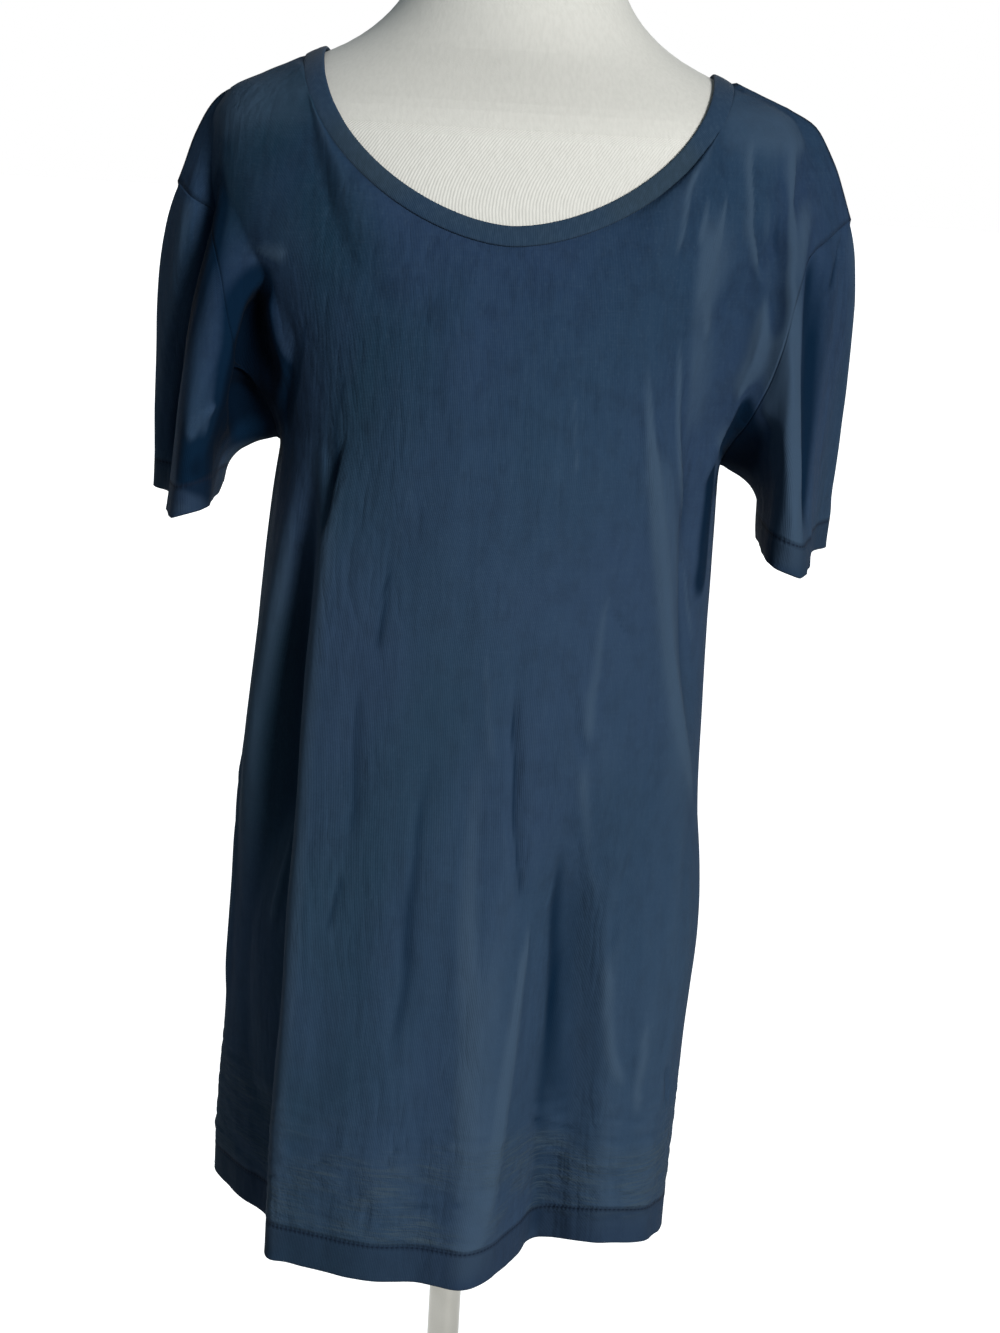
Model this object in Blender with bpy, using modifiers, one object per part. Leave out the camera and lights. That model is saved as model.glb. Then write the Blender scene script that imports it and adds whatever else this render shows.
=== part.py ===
"""A long scoop neck t-shirt on a limbless dress form, which stands on a pole and a round foot.

Metres, +Z up, the front faces -Y. The origin is the middle of the foot's underside, on the pole's axis.
A "drop" is a distance straight down from the high point of the shoulder, where neck and shoulder meet.
"""

from math import exp, pi

import bmesh
import bpy
import numpy as np

# Heights and drops
SHOULDER_HEIGHT = 1.420
ARMPIT_DROP = 0.243
HEM_DROP = 0.765
FORM_TOP_DROP = -0.095
FORM_BOTTOM_DROP = 0.670
FORM_CAP_TOP = 0.004
FORM_CAP_BOTTOM = 0.005
FORM_CAP_SHARES = (0.90, 0.95)

# Cloth
WALL = 0.0012
BAND_WIDTH = 0.012
BAND_WALL = 0.0022
BAND_TAPER = 0.0015
SEAM_GAP = 0.0003
BAND_SEAM_GAP = 0.0004
GARMENT_SHIFT = 0.0045
CLOTH_OFF_FORM = 0.0034
CLOTH_OFF_SHOULDER = 0.0055
BAND_OFF_FORM = 0.0022

# Neckline and shoulder seam: half widths and drops
NECK_HALF_WIDTH = 0.1305
NECK_START_DROP = 0.0005
NECK_DROP_FRONT = 0.1035
NECK_DROP_BACK = 0.034
NECK_POWER = 1.72
NECK_OFF_BAND = 0.0006
SHOULDER_TIP = (0.2125, 0.0, 0.082)
SHOULDER_SEAM = ((0.150, 0.0, 0.0085), (0.170, 0.0, 0.0170), (0.1875, 0.0, 0.0275), (0.200, 0.0, 0.0480))

# Body: how square its outline is, and where the points that shape it stand, in shares and degrees round it
BODY_POWER = 2.3
FOLD_SHARES = (1.0, 0.88, 0.55, 0.25)
FOLD_EASE = 2.4
FRONT_TURNS = (90, 68, 46, 26, 10)
BACK_TURNS = (12, 30, 50, 70, 90, 110, 130, 150, 168)
FOLD_FADE_AT_SIDES = 0.15
FOLD_FADE_AT_ENDS = 0.35

# Yoke: how hard the cloth runs up from the chest and over the shoulder, and how wide the armhole's pull is
YOKE_FLARE = 0.03
YOKE_RISE = (0.15, 0.08)
YOKE_OVER = (0.02, 0.11)
YOKE_ARRIVAL = (0.13, -0.10)
ARMHOLE_PULL_FROM = 0.62
ARMHOLE_PULL_EASE = 1.6

# Sleeves: the way the cloth leaves the armhole and how it reaches the hem
SLEEVE_CHORD_SHARE = 0.9
SLEEVE_SPREAD = 0.35
SLEEVE_START = (0.045, 0.0, 0.030)
SLEEVE_LOW_START = 0.045
SLEEVE_LOW_DEPTH = 0.08
SLEEVE_END = (-0.012, 0.0, -0.010)
SLEEVE_INNER_RISE = 0.006
SLEEVE_INNER_FROM = 0.200
SLEEVE_INNER_WIDTH = 0.020

# Stand
POLE_RADIUS = 0.011
FOOT_RADIUS = 0.170
FOOT_THICKNESS = 0.008
COLLAR_RADIUS = 0.017
COLLAR_LENGTH = 0.030
FLANGE_RADIUS = 0.055
FLANGE_THICKNESS = 0.004
EDGE_ROUND = 0.001
HUB_RADIUS = 0.021
HUB_HEIGHT = 0.018
HUB_ROUND = 0.002
HUB_FILLET = 0.003
SOCKET_FLOOR = 0.002
FOOT_ROUND = 0.004
FIT_GAP = 0.0003

# How finely each piece is divided
BODY_ROWS = 16
YOKE_ROWS = 11
FRONT_COLUMNS = 34
BACK_COLUMNS = 26
SHOULDER_COLUMNS = 6
SLEEVE_ROWS = 8
FORM_ROWS = 30
FORM_COLUMNS_ROUND = 36
ROUND_STEPS = 32

NAVY = (0.016, 0.030, 0.060)
CREAM = (0.72, 0.70, 0.65)
STEEL = (0.62, 0.60, 0.56)

# The form's neck flares into its shoulders: the half width it narrows to, how much it flares, and how fast
FORM_NECK = 0.052
FORM_FLARE = 0.076
FORM_FLARE_REACH = 0.030
FORM_SHOULDER_TOP = 0.003
FORM_NECK_ROWS = tuple(
    (drop, FORM_NECK + FORM_FLARE * exp((drop - FORM_SHOULDER_TOP) / FORM_FLARE_REACH), front, back, 2.0)
    for drop, front, back in (
        (-0.095, 0.052, 0.056),
        (-0.060, 0.055, 0.060),
        (-0.040, 0.060, 0.066),
        (-0.030, 0.064, 0.070),
        (-0.018, 0.067, 0.074),
        (-0.008, 0.070, 0.077),
    )
)
FORM_SECTIONS = {
    "columns": ("drop", "half_width", "front", "back", "power"),
    "rows": FORM_NECK_ROWS + (
        (0.003, 0.128, 0.072, 0.080, 2.0),
        (0.013, 0.148, 0.075, 0.083, 2.1),
        (0.028, 0.172, 0.080, 0.088, 2.2),
        (0.042, 0.180, 0.084, 0.092, 2.3),
        (0.070, 0.181, 0.092, 0.099, 2.3),
        (0.105, 0.175, 0.103, 0.103, 2.3),
        (0.140, 0.157, 0.112, 0.104, 2.3),
        (0.175, 0.139, 0.118, 0.102, 2.3),
        (0.215, 0.133, 0.120, 0.098, 2.3),
        (0.250, 0.129, 0.117, 0.094, 2.3),
        (0.300, 0.120, 0.103, 0.087, 2.3),
        (0.360, 0.109, 0.089, 0.079, 2.2),
        (0.410, 0.110, 0.085, 0.079, 2.2),
        (0.460, 0.121, 0.085, 0.085, 2.2),
        (0.520, 0.136, 0.084, 0.095, 2.2),
        (0.590, 0.142, 0.081, 0.099, 2.2),
        (0.670, 0.138, 0.076, 0.093, 2.2),
    ),
}

# The body's sides. Half widths at the armpit and at the hem, and how the right one eases out between them.
# The left one swells at the hip, by so much, at so great a drop, and so far above and below it.
BODY_RIGHT = (0.142, 0.173)
BODY_RIGHT_EASE = 0.75
BODY_LEFT = (0.141, 0.143)
HIP_SWELL = 0.008
HIP_DROP = 0.550
HIP_REACH = 0.090

BODY_SECTIONS = {
    "columns": ("drop", "front", "back", "side_right", "side_left"),
    "rows": (
        (0.243, 0.127, 0.106, 0.002, 0.000),
        (0.310, 0.128, 0.103, 0.000, 0.000),
        (0.380, 0.126, 0.101, 0.000, 0.000),
        (0.460, 0.122, 0.103, 0.000, 0.000),
        (0.550, 0.119, 0.107, 0.008, -0.002),
        (0.640, 0.118, 0.109, 0.014, -0.008),
        (0.765, 0.120, 0.110, 0.042, -0.006),
    ),
}

# The deep fold at the wearer's right. The front's free edge runs out from the first width, at the armpit, to
# the second, at the hem, and the side's first crest from its first to its second, which it reaches a share of
# the way down. The table gives how far forward both stand, and the valley between them.
FOLD_EDGE = (0.100, 0.122)
FOLD_EDGE_EASE = 0.7
FOLD_CREST = (0.125, 0.152)
FOLD_CREST_FULL = 0.45
SIDE_FOLD = {
    "columns": ("drop", "edge_y", "valley_x", "valley_y", "crest_y"),
    "rows": (
        (0.243, -0.100, 0.115, -0.080, -0.069),
        (0.310, -0.110, 0.112, -0.068, -0.072),
        (0.390, -0.108, 0.116, -0.050, -0.054),
        (0.480, -0.104, 0.119, -0.040, -0.032),
        (0.560, -0.102, 0.122, -0.038, -0.017),
        (0.650, -0.100, 0.126, -0.037, -0.012),
        (0.765, -0.098, 0.128, -0.035, -0.006),
    ),
}

# Soft ridges (height over 0) and troughs (under 0) that run down the front and the back
FOLDS = {
    "columns": ("side", "top_drop", "top_x", "foot_drop", "foot_x", "height", "half_width", "opens"),
    "rows": (
        ("front", 0.400, 0.074, 0.765, 0.074, -0.058, 0.038, 1.0),
        ("front", 0.420, 0.088, 0.765, 0.104, 0.012, 0.013, 0.6),
        ("front", 0.140, 0.086, 0.500, 0.130, 0.007, 0.010, 0.0),
        ("front", 0.200, 0.118, 0.420, 0.131, -0.010, 0.007, 0.0),
        ("front", 0.480, 0.022, 0.765, 0.008, 0.012, 0.020, 1.0),
        ("front", 0.500, -0.060, 0.765, -0.055, 0.006, 0.026, 1.0),
        ("back", 0.300, -0.075, 0.765, -0.092, -0.020, 0.017, 1.0),
        ("back", 0.260, 0.082, 0.765, 0.070, -0.017, 0.015, 1.0),
        ("back", 0.350, 0.004, 0.765, -0.010, 0.011, 0.026, 1.0),
        ("back", 0.150, -0.125, 0.420, -0.110, -0.010, 0.010, 0.0),
        ("back", 0.150, 0.128, 0.400, 0.115, -0.009, 0.010, 0.0),
    ),
}

# The neckband's section: the share of its width from the seam to the free edge, and of its thickness
BAND_SECTION = {
    "columns": ("across", "height"),
    "rows": (
        (0.03, 0.0),
        (0.97, 0.0),
        (1.0, 0.35),
        (1.0, 0.65),
        (0.93, 1.0),
        (0.07, 1.0),
        (0.0, 0.65),
        (0.0, 0.35),
    ),
}

# The front's hem hangs a little higher over the trough at the wearer's left
HEM_LIFT = 0.012
HEM_LIFT_AT = 0.095
HEM_LIFT_REACH = 0.045
HEM_LIFT_FROM = 0.600

# The armhole seam, from just over the armpit to just under the shoulder's tip
ARMHOLE = {
    "columns": ("half_width", "y", "drop"),
    "front": (
        (0.1460, -0.034, 0.224),
        (0.1570, -0.060, 0.198),
        (0.1675, -0.071, 0.166),
        (0.1765, -0.065, 0.130),
        (0.1900, -0.040, 0.101),
    ),
    "back": (
        (0.1465, 0.034, 0.222),
        (0.1580, 0.058, 0.193),
        (0.1690, 0.067, 0.158),
        (0.1810, 0.059, 0.124),
        (0.1940, 0.036, 0.099),
    ),
}

# A sleeve's hem seen from above, from its outer side round the front to the inner side and back again
SLEEVE_HEM = {
    "columns": ("half_width", "y"),
    "outer": (0.2290, 0.040),
    "front": (
        (0.2180, 0.020),
        (0.2020, -0.008),
        (0.2075, -0.046),
        (0.1980, -0.079),
        (0.1830, -0.077),
        (0.1790, -0.040),
    ),
    "inner": (0.1800, 0.002),
    "back": ((0.1820, 0.046), (0.1930, 0.079), (0.2120, 0.082), (0.2260, 0.064)),
}
SLEEVE_DROPS = {"right": 0.283, "left": 0.298}
SLEEVE_TROUGH = {"right": 0.0, "left": 0.010}
SLEEVE_LEAN = {"right": 0.0, "left": -0.008}
SLEEVE_LEAN_START = 0.6


def smooth(position, stations, values):
    """The value at a position on a smooth curve through the stations that never overshoots them."""
    stations = np.asarray(stations, float)
    values = np.asarray(values, float)
    step = np.diff(stations)
    rise = np.diff(values) / step
    slope = np.zeros(len(values))
    same_way = rise[:-1] * rise[1:] > 0
    total = np.where(same_way, rise[:-1] + rise[1:], 1.0)
    slope[1:-1] = np.where(same_way, 2 * rise[:-1] * rise[1:] / total, 0.0)
    slope[0] = rise[0]
    slope[-1] = rise[-1]
    position = np.clip(position, stations[0], stations[-1])
    span = np.clip(np.searchsorted(stations, position) - 1, 0, len(step) - 1)
    t = (position - stations[span]) / step[span]
    start = (2 * t**3 - 3 * t**2 + 1) * values[span] + (t**3 - 2 * t**2 + t) * step[span] * slope[span]
    end = (3 * t**2 - 2 * t**3) * values[span + 1] + (t**3 - t**2) * step[span] * slope[span + 1]
    return start + end


def at_drop(table, name, drop):
    rows = np.array(table["rows"], float)
    return smooth(drop, rows[:, 0], rows[:, table["columns"].index(name)])


def place(x, y, drop):
    """A point, or points, from its place across, its depth and its drop."""
    return np.stack(np.broadcast_arrays(x, y, SHOULDER_HEIGHT - np.asarray(drop, float)), axis=-1)


def spans_through(points, closed, samples=24):
    """Dense points along a smooth curve, one array for each span between the given points."""
    points = np.asarray(points, float)
    count = len(points)
    if closed:
        points = np.concatenate([points[-1:], points, points[:2]])
    else:
        points = np.concatenate([2 * points[:1] - points[1:2], points, 2 * points[-1:] - points[-2:-1]])
    step = np.sqrt(np.linalg.norm(np.diff(points, axis=0), axis=1))
    t = np.linspace(0, 1, samples + 1)[:, None]
    spans = []
    for i in range(1, count + (1 if closed else 0)):
        before, span, after = step[i - 1], step[i], step[i + 1]
        chord = points[i + 1] - points[i]
        start = (points[i] - points[i - 1]) / before - (points[i + 1] - points[i - 1]) / (before + span)
        end = (points[i + 2] - points[i + 1]) / after - (points[i + 2] - points[i]) / (span + after)
        spans.append(
            (2 * t**3 - 3 * t**2 + 1) * points[i]
            + (t**3 - 2 * t**2 + t) * (span * start + chord)
            + (3 * t**2 - 2 * t**3) * points[i + 1]
            + (t**3 - t**2) * (span * end + chord)
        )
    return spans


def evenly(points, count):
    """count + 1 evenly spaced points along a dense line of points."""
    lengths = np.concatenate([[0], np.cumsum(np.linalg.norm(np.diff(points, axis=0), axis=1))])
    wanted = np.linspace(0, lengths[-1], count + 1)
    return np.stack([np.interp(wanted, lengths, points[:, axis]) for axis in range(points.shape[1])], axis=1)


def joined(spans):
    return np.concatenate([spans[0]] + [span[1:] for span in spans[1:]])


def form_depth(side, drop):
    """The form's reach from its middle to the front where side is under 0, and to the back elsewhere."""
    return np.where(side < 0, at_drop(FORM_SECTIONS, "front", drop), at_drop(FORM_SECTIONS, "back", drop))


def outside_form(points):
    """How far outside the form each point is, roughly, and the way straight out of it there."""
    def value(where):
        drop = SHOULDER_HEIGHT - where[..., 2]
        power = at_drop(FORM_SECTIONS, "power", drop)
        depth = form_depth(where[..., 1], drop)
        across = np.abs(where[..., 0]) / at_drop(FORM_SECTIONS, "half_width", drop)
        return (across**power + (np.abs(where[..., 1]) / depth) ** power) ** (1 / power) - 1

    nudge = 0.0005
    here = value(points)
    slopes = []
    for axis in range(3):
        step = np.zeros(3)
        step[axis] = nudge
        slopes.append((value(points + step) - value(points - step)) / (2 * nudge))
    slopes = np.stack(slopes, axis=-1)
    steepness = np.linalg.norm(slopes, axis=-1)
    return here / steepness, slopes / steepness[..., None]


def clear_of_form(points, clearance):
    """Moves points straight out where they come nearer to the form than the clearance."""
    for _ in range(8):
        distance, out = outside_form(points)
        points = points + out * np.clip(clearance - distance, 0, None)[..., None]
    return points


def on_form(points):
    """Clears cloth of the form, by more where it bends over the corner of a shoulder."""
    toward_tip = np.clip((np.abs(points[..., 0]) - 0.090) / 0.03, 0, 1)
    return clear_of_form(points, CLOTH_OFF_FORM + (CLOTH_OFF_SHOULDER - CLOTH_OFF_FORM) * toward_tip)


def body_ring(drop):
    """Dense points of the body at one drop: along the front from right to left, then likewise the back."""
    front = at_drop(BODY_SECTIONS, "front", drop)
    back = at_drop(BODY_SECTIONS, "back", drop)
    side_right = at_drop(BODY_SECTIONS, "side_right", drop)
    side_left = at_drop(BODY_SECTIONS, "side_left", drop)
    fold = {name: at_drop(SIDE_FOLD, name, drop) for name in SIDE_FOLD["columns"][1:]}
    down = np.clip((drop - ARMPIT_DROP) / (HEM_DROP - ARMPIT_DROP), 0, 1)
    right = BODY_RIGHT[0] + (BODY_RIGHT[1] - BODY_RIGHT[0]) * down**BODY_RIGHT_EASE
    swell = HIP_SWELL * np.exp(-(((drop - HIP_DROP) / HIP_REACH) ** 2))
    left = BODY_LEFT[0] + (BODY_LEFT[1] - BODY_LEFT[0]) * down + swell
    edge = FOLD_EDGE[0] + (FOLD_EDGE[1] - FOLD_EDGE[0]) * down**FOLD_EDGE_EASE
    toward = np.clip(down / FOLD_CREST_FULL, 0, 1)
    crest = FOLD_CREST[0] + (FOLD_CREST[1] - FOLD_CREST[0]) * toward**2 * (3 - 2 * toward)
    forward = [(-right, side_right), (-crest, fold["crest_y"]), (-fold["valley_x"], fold["valley_y"])]
    for share in FOLD_SHARES:
        forward.append((-edge * share, -front + (fold["edge_y"] + front) * share**FOLD_EASE))
    for turn in FRONT_TURNS:
        across = np.cos(np.radians(turn)) ** (2 / BODY_POWER)
        ahead = np.sin(np.radians(turn)) ** (2 / BODY_POWER)
        forward.append((left * across, side_left - (front + side_left) * ahead))
    behind = [(left, side_left)]
    for turn in BACK_TURNS:
        across = np.cos(np.radians(turn))
        width = left if across > 0 else right
        middle = side_left if across > 0 else side_right
        ahead = np.sin(np.radians(turn)) ** (2 / BODY_POWER)
        reach = np.sign(across) * np.abs(across) ** (2 / BODY_POWER)
        behind.append((width * reach, middle + (back - middle) * ahead))
    spans = spans_through(forward + behind, closed=True)
    ahead = joined(spans[: len(forward)])
    behind = joined(spans[len(forward) :])[::-1]
    return ahead, behind


def shoulder_edge(side, columns):
    """The shoulder seam from the tip of the shoulder to the neck, at one side (1 is the wearer's left)."""
    neck = (NECK_HALF_WIDTH, 0.0, NECK_START_DROP)
    points = place(*np.array((SHOULDER_TIP,) + SHOULDER_SEAM[::-1] + (neck,)).T)
    points[:, 0] *= side
    return evenly(joined(spans_through(points, closed=False)), columns)


def neck_edge(half_width, lowest, back, columns, off_form):
    """The neckline from the wearer's right to the left, lying on the form at the given distance from it."""
    turn = np.linspace(0, pi, 361)
    across = -np.sign(np.cos(turn)) * np.abs(np.cos(turn)) ** (2 / NECK_POWER)
    down = np.sin(turn) ** (2 / NECK_POWER)
    x = half_width * across
    drop = NECK_START_DROP + lowest * down
    near = at_drop(FORM_SECTIONS, "half_width", drop)
    power = at_drop(FORM_SECTIONS, "power", drop)
    depth = at_drop(FORM_SECTIONS, "back" if back else "front", drop)
    y = depth * np.clip(1 - (np.abs(x) / near) ** power, 0, 1) ** (1 / power)
    points = place(x, y if back else -y, drop)
    points[:, 0] += GARMENT_SHIFT
    for _ in range(8):
        distance, out = outside_form(points)
        points = points + out * (off_form - distance)[:, None]
    points[:, 0] -= GARMENT_SHIFT
    points[[0, -1], 1] = 0.0
    return evenly(points, columns)


def armhole_edge(side, way, armpit, rows):
    """Half of an armhole's seam, from the armpit to the shoulder's tip, by way of the front or the back."""
    middle = place(*np.array(ARMHOLE[way]).T)
    tip = place(*SHOULDER_TIP)
    points = np.concatenate([[armpit * (side, 1, 1)], middle, [tip]])
    points[:, 0] *= side
    return evenly(joined(spans_through(points, closed=False)), rows)


def yoke(bottom, top, way):
    """The part over the armpits: a loft up from the body's top ring to the shoulders and the neckline."""
    across = np.linspace(-1, 1, len(bottom))
    ahead = -1 if way == "front" else 1
    neck_share = np.clip(np.abs(top[:, 0]) / NECK_HALF_WIDTH, 0, 1) ** 2
    start = np.zeros_like(bottom)
    start[:, 0] = YOKE_FLARE * across * np.abs(across)
    start[:, 2] = YOKE_RISE[0] + YOKE_RISE[1] * neck_share
    end = np.zeros_like(bottom)
    end[:, 1] = -ahead * (YOKE_OVER[0] + YOKE_OVER[1] * neck_share)
    end[:, 2] = YOKE_ARRIVAL[0] + YOKE_ARRIVAL[1] * neck_share
    t = np.linspace(0, 1, YOKE_ROWS + 1)[:, None, None]
    grid = (2 * t**3 - 3 * t**2 + 1) * bottom + (t**3 - 2 * t**2 + t) * start
    grid = grid + (3 * t**2 - 2 * t**3) * top + (t**3 - t**2) * end
    for side, column in ((-1, 0), (1, -1)):
        edge = armhole_edge(side, way, bottom[column], YOKE_ROWS)
        beside = np.clip((across * side - ARMHOLE_PULL_FROM) / (1 - ARMHOLE_PULL_FROM), 0, 1)
        pull = beside**ARMHOLE_PULL_EASE
        grid = grid + pull[None, :, None] * (edge - grid[:, column])[:, None, :]
    return grid


def panel_points(way):
    """The outer face of the front or back as rows of points, from the hem up, each row from right to left."""
    columns = FRONT_COLUMNS if way == "front" else BACK_COLUMNS
    shoulder = SHOULDER_COLUMNS
    rows = []
    for drop in np.linspace(HEM_DROP, ARMPIT_DROP, BODY_ROWS + 1):
        ring = body_ring(drop)[0 if way == "front" else 1]
        flat = evenly(ring, columns)
        rows.append(place(flat[:, 0], flat[:, 1], drop))
    neck = neck_edge(
        NECK_HALF_WIDTH,
        NECK_DROP_FRONT if way == "front" else NECK_DROP_BACK,
        way == "back",
        columns - 2 * shoulder,
        WALL + BAND_OFF_FORM + NECK_OFF_BAND,
    )
    top = np.concatenate([shoulder_edge(-1, shoulder)[:-1], neck, shoulder_edge(1, shoulder)[::-1][1:]])
    top[shoulder] = (top[shoulder] + shoulder_edge(-1, shoulder)[-1]) / 2
    top[-shoulder - 1] = (top[-shoulder - 1] + shoulder_edge(1, shoulder)[-1]) / 2
    grid = np.concatenate([rows, yoke(rows[-1], top, way)[1:]])
    return folded(grid, way)


def eased(share):
    """A share kept between 0 and 1 that starts and stops gently."""
    share = np.clip(share, 0, 1)
    return share**2 * (3 - 2 * share)


def folded(grid, way):
    """Adds the soft ridges and troughs of the front or the back, fading out at the panel's sides."""
    out = outward(grid)
    drop = SHOULDER_HEIGHT - grid[..., 2]
    across = np.linspace(-1, 1, grid.shape[1])[None, :]
    fade = np.clip((1 - np.abs(across)) / FOLD_FADE_AT_SIDES, 0, 1)
    height = np.zeros(drop.shape)
    for side, top_drop, top_x, foot_drop, foot_x, rise, half_width, opens in FOLDS["rows"]:
        if side != way:
            continue
        along = (drop - top_drop) / (foot_drop - top_drop)
        middle = top_x + (foot_x - top_x) * np.clip(along, 0, 1)
        start = eased(along / FOLD_FADE_AT_ENDS)
        finish = eased((1 - along) / FOLD_FADE_AT_ENDS)
        strength = start * (opens * (0.25 + 0.75 * along) + (1 - opens) * finish)
        strength = np.where((along >= 0) & (along <= 1.001), strength, 0)
        height += rise * strength * np.exp(-(((grid[..., 0] - middle) / half_width) ** 2))
    grid = grid + out * (height * fade)[..., None]
    if way == "front":
        low = eased((drop - HEM_LIFT_FROM) / (HEM_DROP - HEM_LIFT_FROM))
        beside = (grid[..., 0] - HEM_LIFT_AT) / HEM_LIFT_REACH
        grid[..., 2] += HEM_LIFT * low * fade * np.exp(-(beside**2))
    return grid


def outward(grid):
    """The way out of the cloth at each point of a grid with rows going up and columns from right to left."""
    up = np.gradient(grid, axis=0)
    along = np.gradient(grid, axis=1)
    cross = np.cross(along, up)
    if grid[:, :, 1].mean() > 0.02:
        cross = -cross
    return cross / np.linalg.norm(cross, axis=-1, keepdims=True)


def sleeve_points(name, side, armhole):
    """A sleeve's outer face as rows of points from its hem up to the armhole's own points."""
    trough, lean = SLEEVE_TROUGH[name], SLEEVE_LEAN[name]
    loop = np.array([SLEEVE_HEM["outer"], *SLEEVE_HEM["front"], SLEEVE_HEM["inner"], *SLEEVE_HEM["back"]])
    loop[2, 0] += trough
    spans = spans_through(loop, closed=True)
    halfway = len(SLEEVE_HEM["front"]) + 1
    ahead = evenly(joined(spans[:halfway]), YOKE_ROWS)
    behind = evenly(joined(spans[halfway:]), YOKE_ROWS)
    hem = np.concatenate([ahead, behind[1:-1]])
    inner = np.clip((SLEEVE_INNER_FROM - hem[:, 0]) / SLEEVE_INNER_WIDTH, 0, 1)
    hem = place((hem[:, 0] + lean) * side, hem[:, 1], SLEEVE_DROPS[name] - SLEEVE_INNER_RISE * inner)
    chord = hem - armhole
    away = armhole - armhole.mean(axis=0)
    away[:, 0] = 0
    low = np.clip(-away[:, 2] / SLEEVE_LOW_DEPTH, 0, 1)
    mirror = np.array((side, 1, 1))
    start = SLEEVE_CHORD_SHARE * chord + SLEEVE_SPREAD * away + np.array(SLEEVE_START) * mirror
    start[:, 0] += (SLEEVE_LOW_START * low + SLEEVE_LEAN_START * lean) * side
    end = SLEEVE_CHORD_SHARE * chord + np.array(SLEEVE_END) * mirror
    t = np.linspace(1, 0, SLEEVE_ROWS + 1)[:, None, None]
    grid = (2 * t**3 - 3 * t**2 + 1) * armhole + (t**3 - 2 * t**2 + t) * start
    return grid + (3 * t**2 - 2 * t**3) * hem + (t**3 - t**2) * end


def ring_outward(grid, side):
    """The way out of a sleeve, whose columns close into a ring."""
    up = np.gradient(grid, axis=0)
    wrapped = np.concatenate([grid[:, -1:], grid, grid[:, :1]], axis=1)
    along = (wrapped[:, 2:] - wrapped[:, :-2]) / 2
    cross = side * np.cross(up, along)
    return cross / np.linalg.norm(cross, axis=-1, keepdims=True)


def drawn_from_edge(edge, beside, gap, ring):
    """One free edge of a panel, moved in by a gap, square to the seam and along the cloth."""
    along = (np.roll(edge, -1, axis=0) - np.roll(edge, 1, axis=0)) if ring else np.gradient(edge, axis=0)
    along /= np.linalg.norm(along, axis=1, keepdims=True)
    inward = beside - edge
    inward -= along * np.sum(inward * along, axis=1, keepdims=True)
    return edge + inward / np.linalg.norm(inward, axis=1, keepdims=True) * gap


def pulled_in(grid, gap, ring=False):
    """Draws a panel's free edges in by half a seam gap."""
    drawn = grid.copy()
    for edge, beside in ((0, 1), (-1, -2)):
        drawn[edge] = drawn_from_edge(grid[edge], grid[beside], gap, ring)
    if not ring:
        for edge, beside in ((0, 1), (-1, -2)):
            drawn[:, edge] += drawn_from_edge(grid[:, edge], grid[:, beside], gap, ring) - grid[:, edge]
    return drawn


def material(name, color, roughness, metallic=0.0):
    made = bpy.data.materials.new(name)
    made.use_nodes = True
    shader = made.node_tree.nodes["Principled BSDF"]
    shader.inputs["Base Color"].default_value = (*color, 1.0)
    shader.inputs["Roughness"].default_value = roughness
    shader.inputs["Metallic"].default_value = metallic
    return made


def piece(name, mesh, finish, collection):
    made = bpy.data.objects.new(name, mesh)
    made.data.materials.append(finish)
    made.data.shade_smooth()
    collection.objects.link(made)
    return made


def lofted(name, rings, close_across, close_along):
    """A mesh of quads over rows of points; a row may close on itself, and the last row may meet the first."""
    rows, columns = rings.shape[:2]
    build = bmesh.new()
    points = [[build.verts.new(point) for point in row] for row in rings]
    for i in range(rows if close_along else rows - 1):
        for j in range(columns if close_across else columns - 1):
            beside = (j + 1) % columns
            above = (i + 1) % rows
            build.faces.new((points[i][j], points[i][beside], points[above][beside], points[above][j]))
    if close_across and not close_along:
        build.faces.new(points[0])
        build.faces.new(points[-1])
    bmesh.ops.recalc_face_normals(build, faces=build.faces)
    mesh = bpy.data.meshes.new(name)
    build.to_mesh(mesh)
    build.free()
    return mesh


def free_edges(rows, columns, ring):
    """The border of a grid as closed lines of (row, column) places: two for a ring, one for a panel."""
    if ring:
        return [[(0, j) for j in range(columns)], [(rows - 1, j) for j in range(columns)]]
    border = [(0, j) for j in range(columns)] + [(i, columns - 1) for i in range(1, rows)]
    border += [(rows - 1, j) for j in range(columns - 2, -1, -1)] + [(i, 0) for i in range(rows - 2, 0, -1)]
    return [border]


def cloth_wall(name, outer, out, ring=False):
    """A closed wall: the outer face, an inner one a wall's thickness inside it, and the cut edges between."""
    inner = outer - out * WALL
    rows, columns = outer.shape[:2]
    build = bmesh.new()
    skins = []
    for grid in (outer, inner):
        face = pulled_in(grid, SEAM_GAP * 0.7, ring)
        skins.append([[build.verts.new(point) for point in row] for row in face])
    for skin in skins:
        for i in range(rows - 1):
            for j in range(columns if ring else columns - 1):
                beside = (j + 1) % columns
                build.faces.new((skin[i][j], skin[i][beside], skin[i + 1][beside], skin[i + 1][j]))
    cut_edges = []
    for border in free_edges(rows, columns, ring):
        for (i, j), (k, m) in zip(border, border[1:] + border[:1]):
            corners = (skins[0][i][j], skins[0][k][m], skins[1][k][m], skins[1][i][j])
            cut_edges.append(build.faces.new(corners))
    bmesh.ops.poke(build, faces=cut_edges)
    bmesh.ops.recalc_face_normals(build, faces=build.faces)
    mesh = bpy.data.meshes.new(name)
    build.to_mesh(mesh)
    build.free()
    return mesh


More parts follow.
